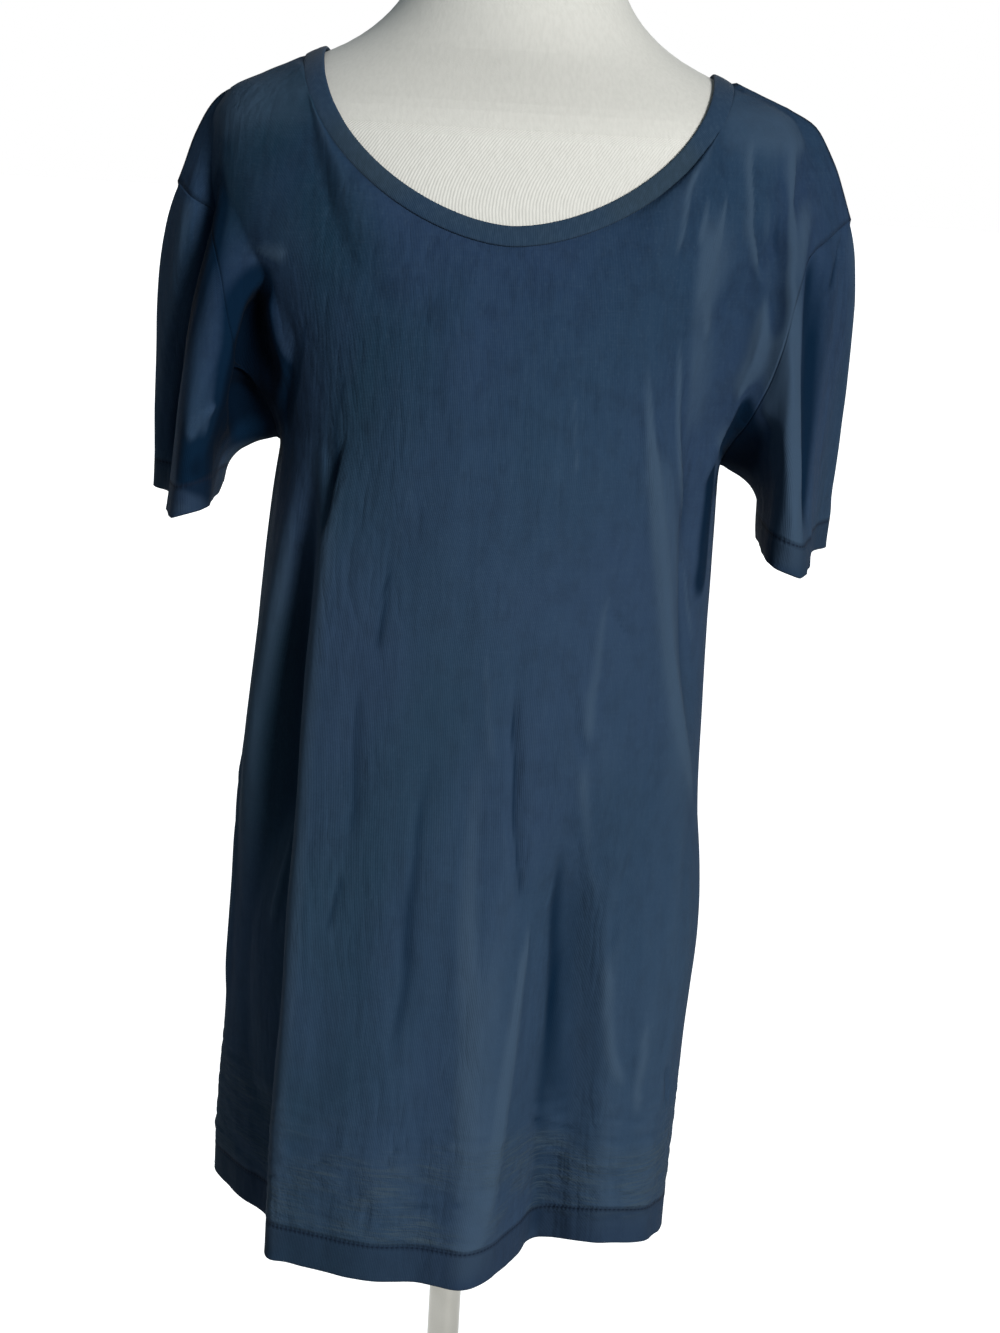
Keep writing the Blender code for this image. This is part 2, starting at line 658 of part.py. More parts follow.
def neckband_mesh(front_columns, back_columns):
    """The doubled strip round the neck: a flat, round-edged section carried round on the form."""
    loops = []
    for width, drop_less in ((NECK_HALF_WIDTH, 0.0), (NECK_HALF_WIDTH - BAND_WIDTH, BAND_WIDTH - BAND_TAPER)):
        ahead = neck_edge(width, NECK_DROP_FRONT - drop_less, False, front_columns, BAND_OFF_FORM)
        behind = neck_edge(width, NECK_DROP_BACK - drop_less, True, back_columns, BAND_OFF_FORM)
        for loop in (ahead, behind):
            loop[:, 0] += GARMENT_SHIFT
        for end in (0, -1):
            ahead[end] = (ahead[end] + behind[end]) / 2
        loops.append(clear_of_form(np.concatenate([ahead, behind[-2:0:-1]]), BAND_OFF_FORM))
    outer, inner = loops
    _, out = outside_form((outer + inner) / 2)
    across = inner - outer
    across /= np.linalg.norm(across, axis=1, keepdims=True)
    outer = outer + across * BAND_SEAM_GAP
    rows = [
        outer + (inner - outer) * share + out * BAND_WALL * height
        for share, height in BAND_SECTION["rows"]
    ]
    return lofted("neckband", np.array(rows), close_across=True, close_along=True)


def share_normals(*edges):
    """Gives pieces that are sewn together the same way out along their seam."""
    mean = sum(normals[where] for normals, where in edges)
    mean = mean / np.linalg.norm(mean, axis=-1, keepdims=True)
    for normals, where in edges:
        normals[where] = mean


def make_garment(collection):
    """The front, the back, the two sleeves and the neckband, sewn to each other."""
    navy = material("navy jersey", NAVY, 0.85)
    shift = np.array((GARMENT_SHIFT, 0, 0))
    front = on_form(panel_points("front") + shift)
    back = on_form(panel_points("back") + shift)
    out = {"front": outward(front), "back": outward(back)}
    ends = {"right": (-1, 0), "left": (1, -1)}
    body = slice(0, BODY_ROWS + 1)
    for side, column in ends.values():
        back[body, column] = front[body, column]
        seam = slice(0, SHOULDER_COLUMNS + 1) if side < 0 else slice(-SHOULDER_COLUMNS - 1, None)
        back[-1, seam] = front[-1, seam]
        share_normals((out["front"], (body, column)), (out["back"], (body, column)))
        share_normals((out["front"], (-1, seam)), (out["back"], (-1, seam)))
    for name, (side, column) in ends.items():
        ahead = np.s_[: BODY_ROWS - 1 : -1, column]
        behind = np.s_[BODY_ROWS + 1 : -1, column]
        armhole = np.concatenate([front[ahead], back[behind]])
        sleeve = sleeve_points(name, side, armhole - shift) + shift
        sleeve[:-1] = on_form(sleeve[:-1])
        sleeve[-1] = armhole
        sleeve_out = ring_outward(sleeve, side)
        around = sleeve_out[-1]
        share_normals((out["front"], ahead), (around, np.s_[: YOKE_ROWS + 1]))
        share_normals((out["back"], behind), (around, np.s_[YOKE_ROWS + 1 :]))
        piece(f"sleeve_{name}", cloth_wall(f"sleeve_{name}", sleeve, sleeve_out, ring=True), navy, collection)
    piece("front", cloth_wall("front", front, out["front"]), navy, collection)
    piece("back", cloth_wall("back", back, out["back"]), navy, collection)
    band = neckband_mesh(FRONT_COLUMNS - 2 * SHOULDER_COLUMNS, BACK_COLUMNS - 2 * SHOULDER_COLUMNS)
    piece("neckband", band, navy, collection)


def make_torso(collection):
    """The form itself, from its neck down, closed at both ends."""
    drops = np.linspace(FORM_TOP_DROP, FORM_BOTTOM_DROP, FORM_ROWS + 1)
    turn = np.linspace(0, 2 * pi, FORM_COLUMNS_ROUND, endpoint=False)
    rings = []
    cap_drops = (FORM_TOP_DROP - FORM_CAP_TOP, FORM_BOTTOM_DROP + FORM_CAP_BOTTOM)
    caps = list(zip(cap_drops, FORM_CAP_SHARES))
    for drop, share in (caps[0], *((drop, 1.0) for drop in drops), caps[1]):
        power = at_drop(FORM_SECTIONS, "power", drop)
        depth = form_depth(np.sin(turn), drop)
        half_width = at_drop(FORM_SECTIONS, "half_width", drop)
        x = half_width * np.sign(np.cos(turn)) * np.abs(np.cos(turn)) ** (2 / power)
        y = depth * np.sign(np.sin(turn)) * np.abs(np.sin(turn)) ** (2 / power)
        rings.append(place(x * share, y * share, drop))
    torso = lofted("form_torso", np.array(rings), close_across=True, close_along=False)
    piece("form_torso", torso, material("cream cover", CREAM, 0.9), collection)


def turned(name, profile, closed, finish, collection):
    """A turned piece: its outline from the top down, carried once round the pole's axis."""
    mesh = bpy.data.meshes.new(name)
    count = len(profile)
    edges = [(i, (i + 1) % count) for i in range(count if closed else count - 1)]
    mesh.from_pydata([(radius, 0, height) for radius, height in profile], edges, [])
    made = piece(name, mesh, finish, collection)
    screw = made.modifiers.new("turn", "SCREW")
    screw.steps = ROUND_STEPS
    screw.render_steps = ROUND_STEPS
    screw.use_merge_vertices = True
    screw.merge_threshold = 0.00005
    screw.use_normal_calculate = False
    return made


def make_stand(collection):
    """The flange under the form, the pole and the round foot."""
    steel = material("steel", STEEL, 0.25, 1.0)
    bore = POLE_RADIUS + FIT_GAP
    form_bottom = SHOULDER_HEIGHT - FORM_BOTTOM_DROP - FORM_CAP_BOTTOM
    top = form_bottom - FIT_GAP
    under = top - FLANGE_THICKNESS
    rim = FLANGE_RADIUS
    flange = [(bore, top), (rim - EDGE_ROUND, top), (rim, top - EDGE_ROUND), (rim, under)]
    flange += [(COLLAR_RADIUS, under), (COLLAR_RADIUS, under - COLLAR_LENGTH), (bore, under - COLLAR_LENGTH)]
    turned("form_flange", flange, True, steel, collection)
    hub_top = FOOT_THICKNESS + HUB_HEIGHT
    socket = FOOT_THICKNESS + SOCKET_FLOOR
    foot = [(0, socket), (bore, socket), (bore, hub_top)]
    foot += [(HUB_RADIUS - HUB_ROUND, hub_top), (HUB_RADIUS, hub_top - HUB_ROUND)]
    foot += [(HUB_RADIUS, FOOT_THICKNESS + HUB_FILLET), (HUB_RADIUS + HUB_FILLET, FOOT_THICKNESS)]
    rim, top = FOOT_RADIUS, FOOT_THICKNESS
    foot += [(rim - FOOT_ROUND, top), (rim - FOOT_ROUND / 4, top - FOOT_ROUND / 3), (rim, top - FOOT_ROUND)]
    foot += [(rim, 0), (0, 0)]
    turned("foot", foot, False, steel, collection)
    bottom = socket + FIT_GAP
    length = form_bottom - FIT_GAP - bottom
    bpy.ops.mesh.primitive_cylinder_add(
        vertices=ROUND_STEPS, radius=POLE_RADIUS, depth=length, location=(0, 0, bottom + length / 2)
    )
    pole = bpy.context.object
    pole.name = "pole"
    pole.data.materials.append(steel)
    pole.data.shade_smooth()


def main():
    for old in list(bpy.data.objects):
        bpy.data.objects.remove(old)
    parts = bpy.data.collections.new("scoop neck t-shirt on a form")
    bpy.context.scene.collection.children.link(parts)
    layers = bpy.context.view_layer
    layers.active_layer_collection = layers.layer_collection.children[parts.name]
    make_torso(parts)
    make_stand(parts)
    make_garment(parts)


main()
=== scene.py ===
"""A long navy scoop neck t-shirt hanging on a limbless dress form with a pole and a round foot.

Metres, +Z up, the front faces -Y. +X is the wearer's left. A "drop" is a distance straight down from the
high point of the shoulder, where neck and shoulder meet.
"""

from math import cos, exp, pi, radians, sin

import bmesh
import bpy
import numpy as np
from mathutils import Matrix, Vector, noise


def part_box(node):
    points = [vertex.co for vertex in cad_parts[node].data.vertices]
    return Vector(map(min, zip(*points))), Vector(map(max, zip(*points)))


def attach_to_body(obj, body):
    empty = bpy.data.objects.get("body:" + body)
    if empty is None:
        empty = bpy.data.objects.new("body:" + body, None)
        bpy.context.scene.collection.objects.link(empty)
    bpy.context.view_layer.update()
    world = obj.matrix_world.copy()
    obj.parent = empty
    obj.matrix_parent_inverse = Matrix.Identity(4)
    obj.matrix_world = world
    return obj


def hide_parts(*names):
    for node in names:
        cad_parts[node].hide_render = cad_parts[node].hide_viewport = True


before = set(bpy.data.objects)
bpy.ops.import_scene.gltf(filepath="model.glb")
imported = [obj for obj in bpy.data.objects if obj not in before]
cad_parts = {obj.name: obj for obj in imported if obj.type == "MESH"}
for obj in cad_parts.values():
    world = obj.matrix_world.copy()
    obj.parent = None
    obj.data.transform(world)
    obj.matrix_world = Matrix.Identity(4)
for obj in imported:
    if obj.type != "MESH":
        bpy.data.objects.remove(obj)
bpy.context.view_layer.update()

# Heights and drops
SHOULDER_HEIGHT = 1.420
ARMPIT_DROP = 0.243
HEM_DROP = 0.765
FORM_EDGE_DROP = 0.669

# Cloth
CLOTH = 0.0007
HEM_FOLD = 0.0016
BODY_HEM = 0.025
SLEEVE_HEM_DEPTH = 0.020
GARMENT_SHIFT = 0.0045
CLOTH_OFF_FORM = 0.0030
CLOTH_OFF_SHOULDER = 0.0050
BAND_WIDTH = 0.012
BAND_TAPER = 0.0015
BAND_DEPTH = 0.0023
BAND_OFF_FORM = 0.0012
BAND_OVERLAP = 0.0014
SHOULDER_LIFT_FROM = 0.142
SHOULDER_LIFT_OVER = 0.030
FORM_EDGE_SLOPE = 0.28

# Neckline and shoulder seam: half widths and drops
NECK_HALF_WIDTH = 0.1305
NECK_START_DROP = 0.0005
NECK_DROP_FRONT = 0.1035
NECK_DROP_BACK = 0.034
NECK_POWER = 1.72
NECK_OFF_FORM = 0.0037
SHOULDER_TIP = (0.2125, 0.0, 0.082)
SHOULDER_SEAM = ((0.150, 0.0, 0.0085), (0.170, 0.0, 0.0170), (0.1875, 0.0, 0.0275), (0.200, 0.0, 0.0480))

# Body: how square its outline is, and where the points that shape it stand, in shares and degrees round it
BODY_POWER = 2.3
FOLD_SHARES = (1.0, 0.88, 0.55, 0.25)
FOLD_EASE = 2.4
FRONT_TURNS = (90, 68, 46, 26, 10)
BACK_TURNS = (12, 30, 50, 70, 90, 110, 130, 150, 168)
FOLD_FADE_AT_SIDES = 0.15
FOLD_FADE_AT_ENDS = 0.35

# Yoke: how hard the cloth runs up from the chest and over the shoulder, and how wide the armhole's pull is
YOKE_FLARE = 0.03
YOKE_RISE = (0.15, 0.08)
YOKE_OVER = (0.02, 0.11)
YOKE_ARRIVAL = (0.13, -0.10)
ARMHOLE_PULL_FROM = 0.62
ARMHOLE_PULL_EASE = 1.6
YOKE_SMOOTHING = 500
YOKE_SMOOTH_START = 14
YOKE_SMOOTH_TOP = 52

# Sleeves: the way the cloth leaves the armhole and how it reaches the hem
SLEEVE_CHORD_SHARE = 0.9
SLEEVE_SPREAD = 0.35
SLEEVE_START = (0.045, 0.0, 0.030)
SLEEVE_LOW_START = 0.045
SLEEVE_LOW_DEPTH = 0.08
SLEEVE_END = (-0.012, 0.0, -0.010)
SLEEVE_INNER_RISE = 0.006
SLEEVE_INNER_FROM = 0.200
SLEEVE_INNER_WIDTH = 0.020

# How finely the cloth is divided
HEM_ROWS = 56
HEM_ROWS_REACH = 0.120
UPPER_ROWS = 122
YOKE_ROWS = 78
COLUMNS = {"front": 170, "back": 130}
SHOULDER_COLUMNS = 28
SLEEVE_ROWS = 84
BAND_COLUMNS = 420

# The form's neck flares into its shoulders: the half width it narrows to, how much it flares, and how fast
FORM_NECK = 0.052
FORM_FLARE = 0.076
FORM_FLARE_REACH = 0.030
FORM_SHOULDER_TOP = 0.003
FORM_NECK_ROWS = tuple(
    (drop, FORM_NECK + FORM_FLARE * exp((drop - FORM_SHOULDER_TOP) / FORM_FLARE_REACH), front, back, 2.0)
    for drop, front, back in (
        (-0.095, 0.052, 0.056),
        (-0.060, 0.055, 0.060),
        (-0.040, 0.060, 0.066),
        (-0.030, 0.064, 0.070),
        (-0.018, 0.067, 0.074),
        (-0.008, 0.070, 0.077),
    )
)
FORM_SECTIONS = {
    "columns": ("drop", "half_width", "front", "back", "power"),
    "rows": FORM_NECK_ROWS + (
        (0.003, 0.128, 0.072, 0.080, 2.0),
        (0.013, 0.148, 0.075, 0.083, 2.1),
        (0.028, 0.172, 0.080, 0.088, 2.2),
        (0.042, 0.180, 0.084, 0.092, 2.3),
        (0.070, 0.181, 0.092, 0.099, 2.3),
        (0.105, 0.175, 0.103, 0.103, 2.3),
        (0.140, 0.157, 0.112, 0.104, 2.3),
        (0.175, 0.139, 0.118, 0.102, 2.3),
        (0.215, 0.133, 0.120, 0.098, 2.3),
        (0.250, 0.129, 0.117, 0.094, 2.3),
        (0.300, 0.120, 0.103, 0.087, 2.3),
        (0.360, 0.109, 0.089, 0.079, 2.2),
        (0.410, 0.110, 0.085, 0.079, 2.2),
        (0.460, 0.121, 0.085, 0.085, 2.2),
        (0.520, 0.136, 0.084, 0.095, 2.2),
        (0.590, 0.142, 0.081, 0.099, 2.2),
        (0.670, 0.138, 0.076, 0.093, 2.2),
    ),
}

# The body's sides. Half widths at the armpit and at the hem, and how the right one eases out between them.
# The left one swells at the hip, by so much, at so great a drop, and so far above and below it.
BODY_RIGHT = (0.142, 0.173)
BODY_RIGHT_EASE = 0.75
BODY_LEFT = (0.141, 0.143)
HIP_SWELL = 0.008
HIP_DROP = 0.550
HIP_REACH = 0.090

BODY_SECTIONS = {
    "columns": ("drop", "front", "back", "side_right", "side_left"),
    "rows": (
        (0.243, 0.127, 0.106, 0.002, 0.000),
        (0.310, 0.128, 0.103, 0.000, 0.000),
        (0.380, 0.126, 0.101, 0.000, 0.000),
        (0.460, 0.122, 0.103, 0.000, 0.000),
        (0.550, 0.119, 0.107, 0.008, -0.002),
        (0.640, 0.118, 0.109, 0.014, -0.008),
        (0.765, 0.120, 0.110, 0.042, -0.006),
    ),
}

# The deep fold at the wearer's right. The front's free edge runs out from the first width, at the armpit, to
# the second, at the hem, and the side's first crest from its first to its second, which it reaches a share of
# the way down. The table gives how far forward both stand, and the valley between them.
FOLD_EDGE = (0.100, 0.122)
FOLD_EDGE_EASE = 0.7
FOLD_CREST = (0.125, 0.152)
FOLD_CREST_FULL = 0.45
SIDE_FOLD = {
    "columns": ("drop", "edge_y", "valley_x", "valley_y", "crest_y"),
    "rows": (
        (0.243, -0.100, 0.115, -0.080, -0.069),
        (0.310, -0.110, 0.112, -0.068, -0.072),
        (0.390, -0.108, 0.116, -0.050, -0.054),
        (0.480, -0.104, 0.119, -0.040, -0.032),
        (0.560, -0.102, 0.122, -0.038, -0.017),
        (0.650, -0.100, 0.126, -0.037, -0.012),
        (0.765, -0.098, 0.128, -0.035, -0.006),
    ),
}

# Broad ridges (height over 0) and troughs (under 0) that run down the front and the back
FOLDS = {
    "columns": ("side", "top_drop", "top_x", "foot_drop", "foot_x", "height", "half_width", "opens"),
    "rows": (
        ("front", 0.400, 0.074, 0.765, 0.074, -0.058, 0.038, 1.0),
        ("front", 0.420, 0.088, 0.765, 0.104, 0.012, 0.013, 0.6),
        ("front", 0.140, 0.086, 0.500, 0.130, 0.007, 0.010, 0.0),
        ("front", 0.200, 0.118, 0.420, 0.131, -0.010, 0.007, 0.0),
        ("front", 0.480, 0.022, 0.765, 0.008, 0.012, 0.020, 1.0),
        ("front", 0.500, -0.060, 0.765, -0.055, 0.006, 0.026, 1.0),
        ("back", 0.300, -0.075, 0.765, -0.092, -0.020, 0.017, 1.0),
        ("back", 0.260, 0.082, 0.765, 0.070, -0.017, 0.015, 1.0),
        ("back", 0.350, 0.004, 0.765, -0.010, 0.011, 0.026, 1.0),
        ("back", 0.150, -0.125, 0.420, -0.110, -0.010, 0.010, 0.0),
        ("back", 0.150, 0.128, 0.400, 0.115, -0.009, 0.010, 0.0),
    ),
}

# The front's hem hangs a little higher over the trough at the wearer's left
HEM_LIFT = 0.012
HEM_LIFT_AT = 0.095
HEM_LIFT_REACH = 0.045
HEM_LIFT_FROM = 0.600

# The armhole seam, from just over the armpit to just under the shoulder's tip
ARMHOLE = {
    "columns": ("half_width", "y", "drop"),
    "front": (
        (0.1460, -0.034, 0.224),
        (0.1570, -0.060, 0.198),
        (0.1675, -0.071, 0.166),
        (0.1765, -0.065, 0.130),
        (0.1900, -0.040, 0.101),
    ),
    "back": (
        (0.1465, 0.034, 0.222),
        (0.1580, 0.058, 0.193),
        (0.1690, 0.067, 0.158),
        (0.1810, 0.059, 0.124),
        (0.1940, 0.036, 0.099),
    ),
}

# A sleeve's hem seen from above, from its outer side round the front to the inner side and back again
SLEEVE_HEM = {
    "columns": ("half_width", "y"),
    "outer": (0.2290, 0.040),
    "front": (
        (0.2180, 0.020),
        (0.2020, -0.008),
        (0.2075, -0.046),
        (0.1980, -0.079),
        (0.1830, -0.077),
        (0.1790, -0.040),
    ),
    "inner": (0.1800, 0.002),
    "back": ((0.1820, 0.046), (0.1930, 0.079), (0.2120, 0.082), (0.2260, 0.064)),
}
SLEEVE_DROPS = {"right": 0.283, "left": 0.298}
SLEEVE_TROUGH = {"right": 0.0, "left": 0.010}
SLEEVE_LEAN = {"right": 0.0, "left": -0.008}
SLEEVE_LEAN_START = 0.6

# Creases, listed one by one. Each runs from its top to its foot, across and drop in metres as seen from one
# side, and bows sideways in the middle, towards the wearer's left where that is over 0. A height over 0 is a
# ridge. "before" and "after" are its widths at the wearer's right and left of it, "sharp" is 2 for a soft
# round crease and near 1 for a crisp one, and "opens" is the share of its width that it has at its top.
CREASES = {
    "columns": ("name", "seen", "top", "foot", "bow", "height", "before", "after", "sharp", "opens"),
    "rows": (
        ("left chest crest", "front", (0.15, 0.03), (0.162, 0.125), -0.005, 0.004, 0.01, 0.004, 1.2, 0.8),
        ("left side crest", "front", (0.162, 0.118), (0.13, 0.255), 0.005, 0.0044, 0.012, 0.004, 1.2, 0.9),
        ("left armhole hollow", "front", (0.165, 0.065), (0.145, 0.23), 0.01, -0.0015, 0.008, 0.01, 1.8, 0.6),
        ("neck drag, inner", "front", (0.115, 0.045), (0.105, 0.11), 0.0, 0.0014, 0.003, 0.003, 1.6, 0.7),
        ("neck drag, short", "front", (0.125, 0.065), (0.12, 0.1), 0.0, 0.0012, 0.003, 0.003, 1.6, 0.7),
        ("neck drag, outer", "front", (0.135, 0.06), (0.12, 0.135), 0.005, 0.0016, 0.004, 0.003, 1.5, 0.7),
        ("neck drag, low", "front", (0.125, 0.12), (0.13, 0.155), 0.0, 0.0013, 0.003, 0.003, 1.6, 0.7),
        ("left bust ridge, outer", "front", (0.11, 0.13), (0.14, 0.375),
         -0.005, 0.0024, 0.006, 0.005, 1.4, 0.8),
        ("left bust ridge, long", "front", (0.09, 0.14), (0.15, 0.48), -0.005, 0.003, 0.01, 0.005, 1.4, 0.7),
        ("left bust nick", "front", (0.05, 0.18), (0.055, 0.24), 0.0, 0.0012, 0.004, 0.003, 1.6, 0.6),
        ("right armpit pit", "front", (-0.145, 0.125), (-0.15, 0.245), 0.0, -0.03, 0.009, 0.01, 2.4, 0.2),
        ("right armpit bulge", "front", (-0.16, 0.12), (-0.13, 0.12), 0.0, 0.002, 0.008, 0.008, 2.0, 0.9),
        ("right armpit fold", "front", (-0.115, 0.14), (-0.13, 0.235), 0.0, -0.007, 0.008, 0.003, 1.5, 0.35),
        ("side fold's start", "front", (-0.09, 0.16), (-0.105, 0.29), 0.0, -0.01, 0.007, 0.003, 1.5, 0.25),
        ("right sleeve fold", "front", (-0.184, 0.05), (-0.216, 0.285),
         -0.003, -0.015, 0.012, 0.013, 2.2, 0.6),
        ("right sleeve nick", "front", (-0.165, 0.21), (-0.19, 0.235), 0.0, 0.0016, 0.005, 0.003, 1.5, 0.8),
        ("left sleeve crest", "front", (0.175, 0.03), (0.178, 0.155), 0.0, 0.0042, 0.01, 0.004, 1.2, 0.8),
        ("left sleeve crest, low", "front", (0.178, 0.14), (0.192, 0.295),
         -0.005, 0.0046, 0.01, 0.004, 1.2, 1.0),
        ("left sleeve hollow", "front", (0.195, 0.075), (0.205, 0.29), 0.0, -0.008, 0.014, 0.013, 2.2, 0.6),
        ("left sleeve nub", "front", (0.215, 0.09), (0.205, 0.13), 0.0, -0.002, 0.003, 0.004, 1.5, 0.8),
        ("left underarm hollow", "front", (0.17, 0.2), (0.15, 0.24), 0.0, -0.003, 0.018, 0.018, 2.0, 0.8),
        ("right waist dent, high", "front", (-0.06, 0.29), (-0.065, 0.355),
         0.0, -0.0016, 0.003, 0.004, 1.6, 0.6),
        ("right waist dent", "front", (-0.075, 0.365), (-0.075, 0.48), 0.0, -0.0012, 0.003, 0.006, 1.5, 0.6),
        ("right hip nick", "front", (-0.08, 0.495), (-0.09, 0.54), 0.0, -0.0018, 0.003, 0.004, 1.5, 0.7),
        ("right skirt dent", "front", (-0.03, 0.42), (-0.035, 0.63), -0.005, -0.0014, 0.005, 0.008, 1.6, 0.6),
        ("middle ridge", "front", (0.005, 0.335), (0.015, 0.43), 0.0, 0.0009, 0.006, 0.006, 1.7, 0.7),
        ("middle dent", "front", (0.028, 0.355), (0.043, 0.53), -0.006, -0.0046, 0.004, 0.007, 1.3, 0.35),
        ("left waist ridge", "front", (0.08, 0.295), (0.07, 0.415), 0.0, 0.0013, 0.008, 0.007, 1.7, 0.6),
        ("left hip ridge", "front", (0.07, 0.405), (0.08, 0.53), 0.0, 0.0013, 0.008, 0.007, 1.7, 1.0),
        ("left skirt ridge", "front", (0.09, 0.545), (0.115, 0.65), -0.005, 0.0015, 0.008, 0.006, 1.6, 0.8),
        ("left waist dent", "front", (0.06, 0.37), (0.07, 0.415), 0.0, -0.0026, 0.003, 0.004, 1.5, 0.6),
        ("left waist nick", "front", (0.08, 0.315), (0.095, 0.335), 0.0, -0.0026, 0.003, 0.003, 1.5, 0.7),
        ("left skirt valley", "front", (0.06, 0.45), (0.075, 0.69), -0.005, -0.002, 0.01, 0.012, 2.0, 0.6),
        ("middle skirt ridge", "front", (0.045, 0.505), (0.025, 0.74), 0.0, 0.0038, 0.006, 0.009, 1.5, 0.5),
        ("left hip dent", "front", (0.11, 0.465), (0.095, 0.555), 0.0, -0.0017, 0.004, 0.004, 1.6, 0.7),
        ("left edge ridge", "front", (0.125, 0.59), (0.12, 0.67), 0.0, 0.0011, 0.006, 0.005, 1.6, 0.7),
        ("left edge nick", "front", (0.14, 0.63), (0.145, 0.665), 0.0, -0.003, 0.003, 0.004, 1.5, 0.6),
        ("right side ridge", "front", (-0.115, 0.48), (-0.13, 0.56), 0.0, 0.004, 0.006, 0.006, 1.6, 0.6),
        ("hem crinkle, right high", "front", (-0.085, 0.65), (-0.05, 0.63),
         0.0, 0.0012, 0.002, 0.003, 1.6, 0.8),
        ("hem crinkle, right", "front", (-0.1, 0.7), (-0.06, 0.68), 0.0, -0.0012, 0.002, 0.003, 1.6, 0.8),
        ("hem crinkle, middle", "front", (-0.035, 0.715), (0.015, 0.705),
         0.0, -0.0016, 0.002, 0.004, 1.6, 0.8),
        ("hem crinkle, slanted", "front", (-0.04, 0.69), (-0.03, 0.67), 0.0, -0.0014, 0.002, 0.003, 1.6, 0.7),
        ("hem notch", "front", (-0.055, 0.71), (-0.055, 0.73), 0.0, -0.0026, 0.002, 0.002, 1.4, 0.7),
        ("hem crinkle, left high", "front", (0.05, 0.665), (0.09, 0.685),
         0.0, -0.0013, 0.002, 0.002, 1.6, 0.8),
        ("hem crinkle, left", "front", (0.055, 0.69), (0.1, 0.705), 0.0, 0.0012, 0.002, 0.002, 1.6, 0.8),
        ("back right drag", "back", (-0.14, 0.215), (-0.08, 0.36), -0.005, 0.0026, 0.008, 0.008, 1.6, 0.6),
        ("back right drag valley", "back", (-0.13, 0.245), (-0.11, 0.345),
         0.0, -0.003, 0.007, 0.008, 1.8, 0.6),
        ("back left drag", "back", (0.14, 0.21), (0.095, 0.34), 0.005, 0.0024, 0.008, 0.008, 1.6, 0.6),
        ("back left drag valley", "back", (0.135, 0.25), (0.115, 0.35), 0.0, -0.003, 0.008, 0.007, 1.8, 0.6),
        ("back waist valley", "back", (-0.03, 0.3), (-0.035, 0.56), 0.005, -0.0032, 0.01, 0.008, 1.9, 0.5),
        ("back skirt ridge", "back", (0.035, 0.33), (0.04, 0.64), -0.005, 0.003, 0.009, 0.007, 1.6, 0.5),
        ("back middle dent", "back", (-0.01, 0.47), (0.0, 0.59), 0.005, -0.0018, 0.005, 0.005, 1.6, 0.7),
        ("back right ridge", "back", (-0.06, 0.4), (-0.06, 0.52), -0.005, 0.002, 0.005, 0.005, 1.5, 0.7),
        ("back left dent", "back", (0.065, 0.45), (0.06, 0.57), -0.005, -0.002, 0.004, 0.005, 1.6, 0.7),
        ("right shoulder blade", "back", (-0.06, 0.08), (-0.06, 0.165),
         -0.005, 0.0018, 0.006, 0.006, 1.7, 0.8),
        ("left shoulder blade", "back", (0.065, 0.085), (0.065, 0.18), 0.005, 0.0018, 0.006, 0.006, 1.7, 0.8),
        ("back hem crinkle, right", "back", (-0.07, 0.69), (-0.015, 0.695),
         0.0, -0.0012, 0.002, 0.003, 1.6, 0.8),
        ("back hem crinkle, left", "back", (0.02, 0.7), (0.08, 0.7), 0.0, -0.0014, 0.002, 0.003, 1.6, 0.8),
        ("right sleeve's back", "back", (-0.185, 0.12), (-0.2, 0.26), 0.0, -0.006, 0.007, 0.007, 1.8, 0.5),
        ("left sleeve's back", "back", (0.19, 0.125), (0.205, 0.27), 0.0, -0.005, 0.007, 0.007, 1.8, 0.5),
        ("right side valley", "right", (0.02, 0.3), (0.03, 0.62), 0.0, -0.0045, 0.007, 0.007, 1.8, 0.6),
        ("right side crest", "right", (-0.01, 0.42), (0.005, 0.64), 0.0, 0.003, 0.006, 0.006, 1.6, 0.6),
        ("right side rear valley", "right", (0.05, 0.35), (0.06, 0.6), 0.0, -0.003, 0.005, 0.006, 1.7, 0.6),
        ("left side valley", "left", (0.015, 0.29), (0.025, 0.66), 0.0, -0.0045, 0.007, 0.007, 1.8, 0.6),
        ("left side rear crest", "left", (0.05, 0.32), (0.055, 0.56), -0.005, 0.003, 0.006, 0.006, 1.6, 0.6),
        ("right sleeve's side", "right", (0.02, 0.13), (0.045, 0.26), 0.0, -0.003, 0.006, 0.006, 1.8, 0.6),
        ("left sleeve's side", "left", (0.015, 0.135), (0.035, 0.28), 0.0, -0.003, 0.006, 0.006, 1.8, 0.6),
    ),
}
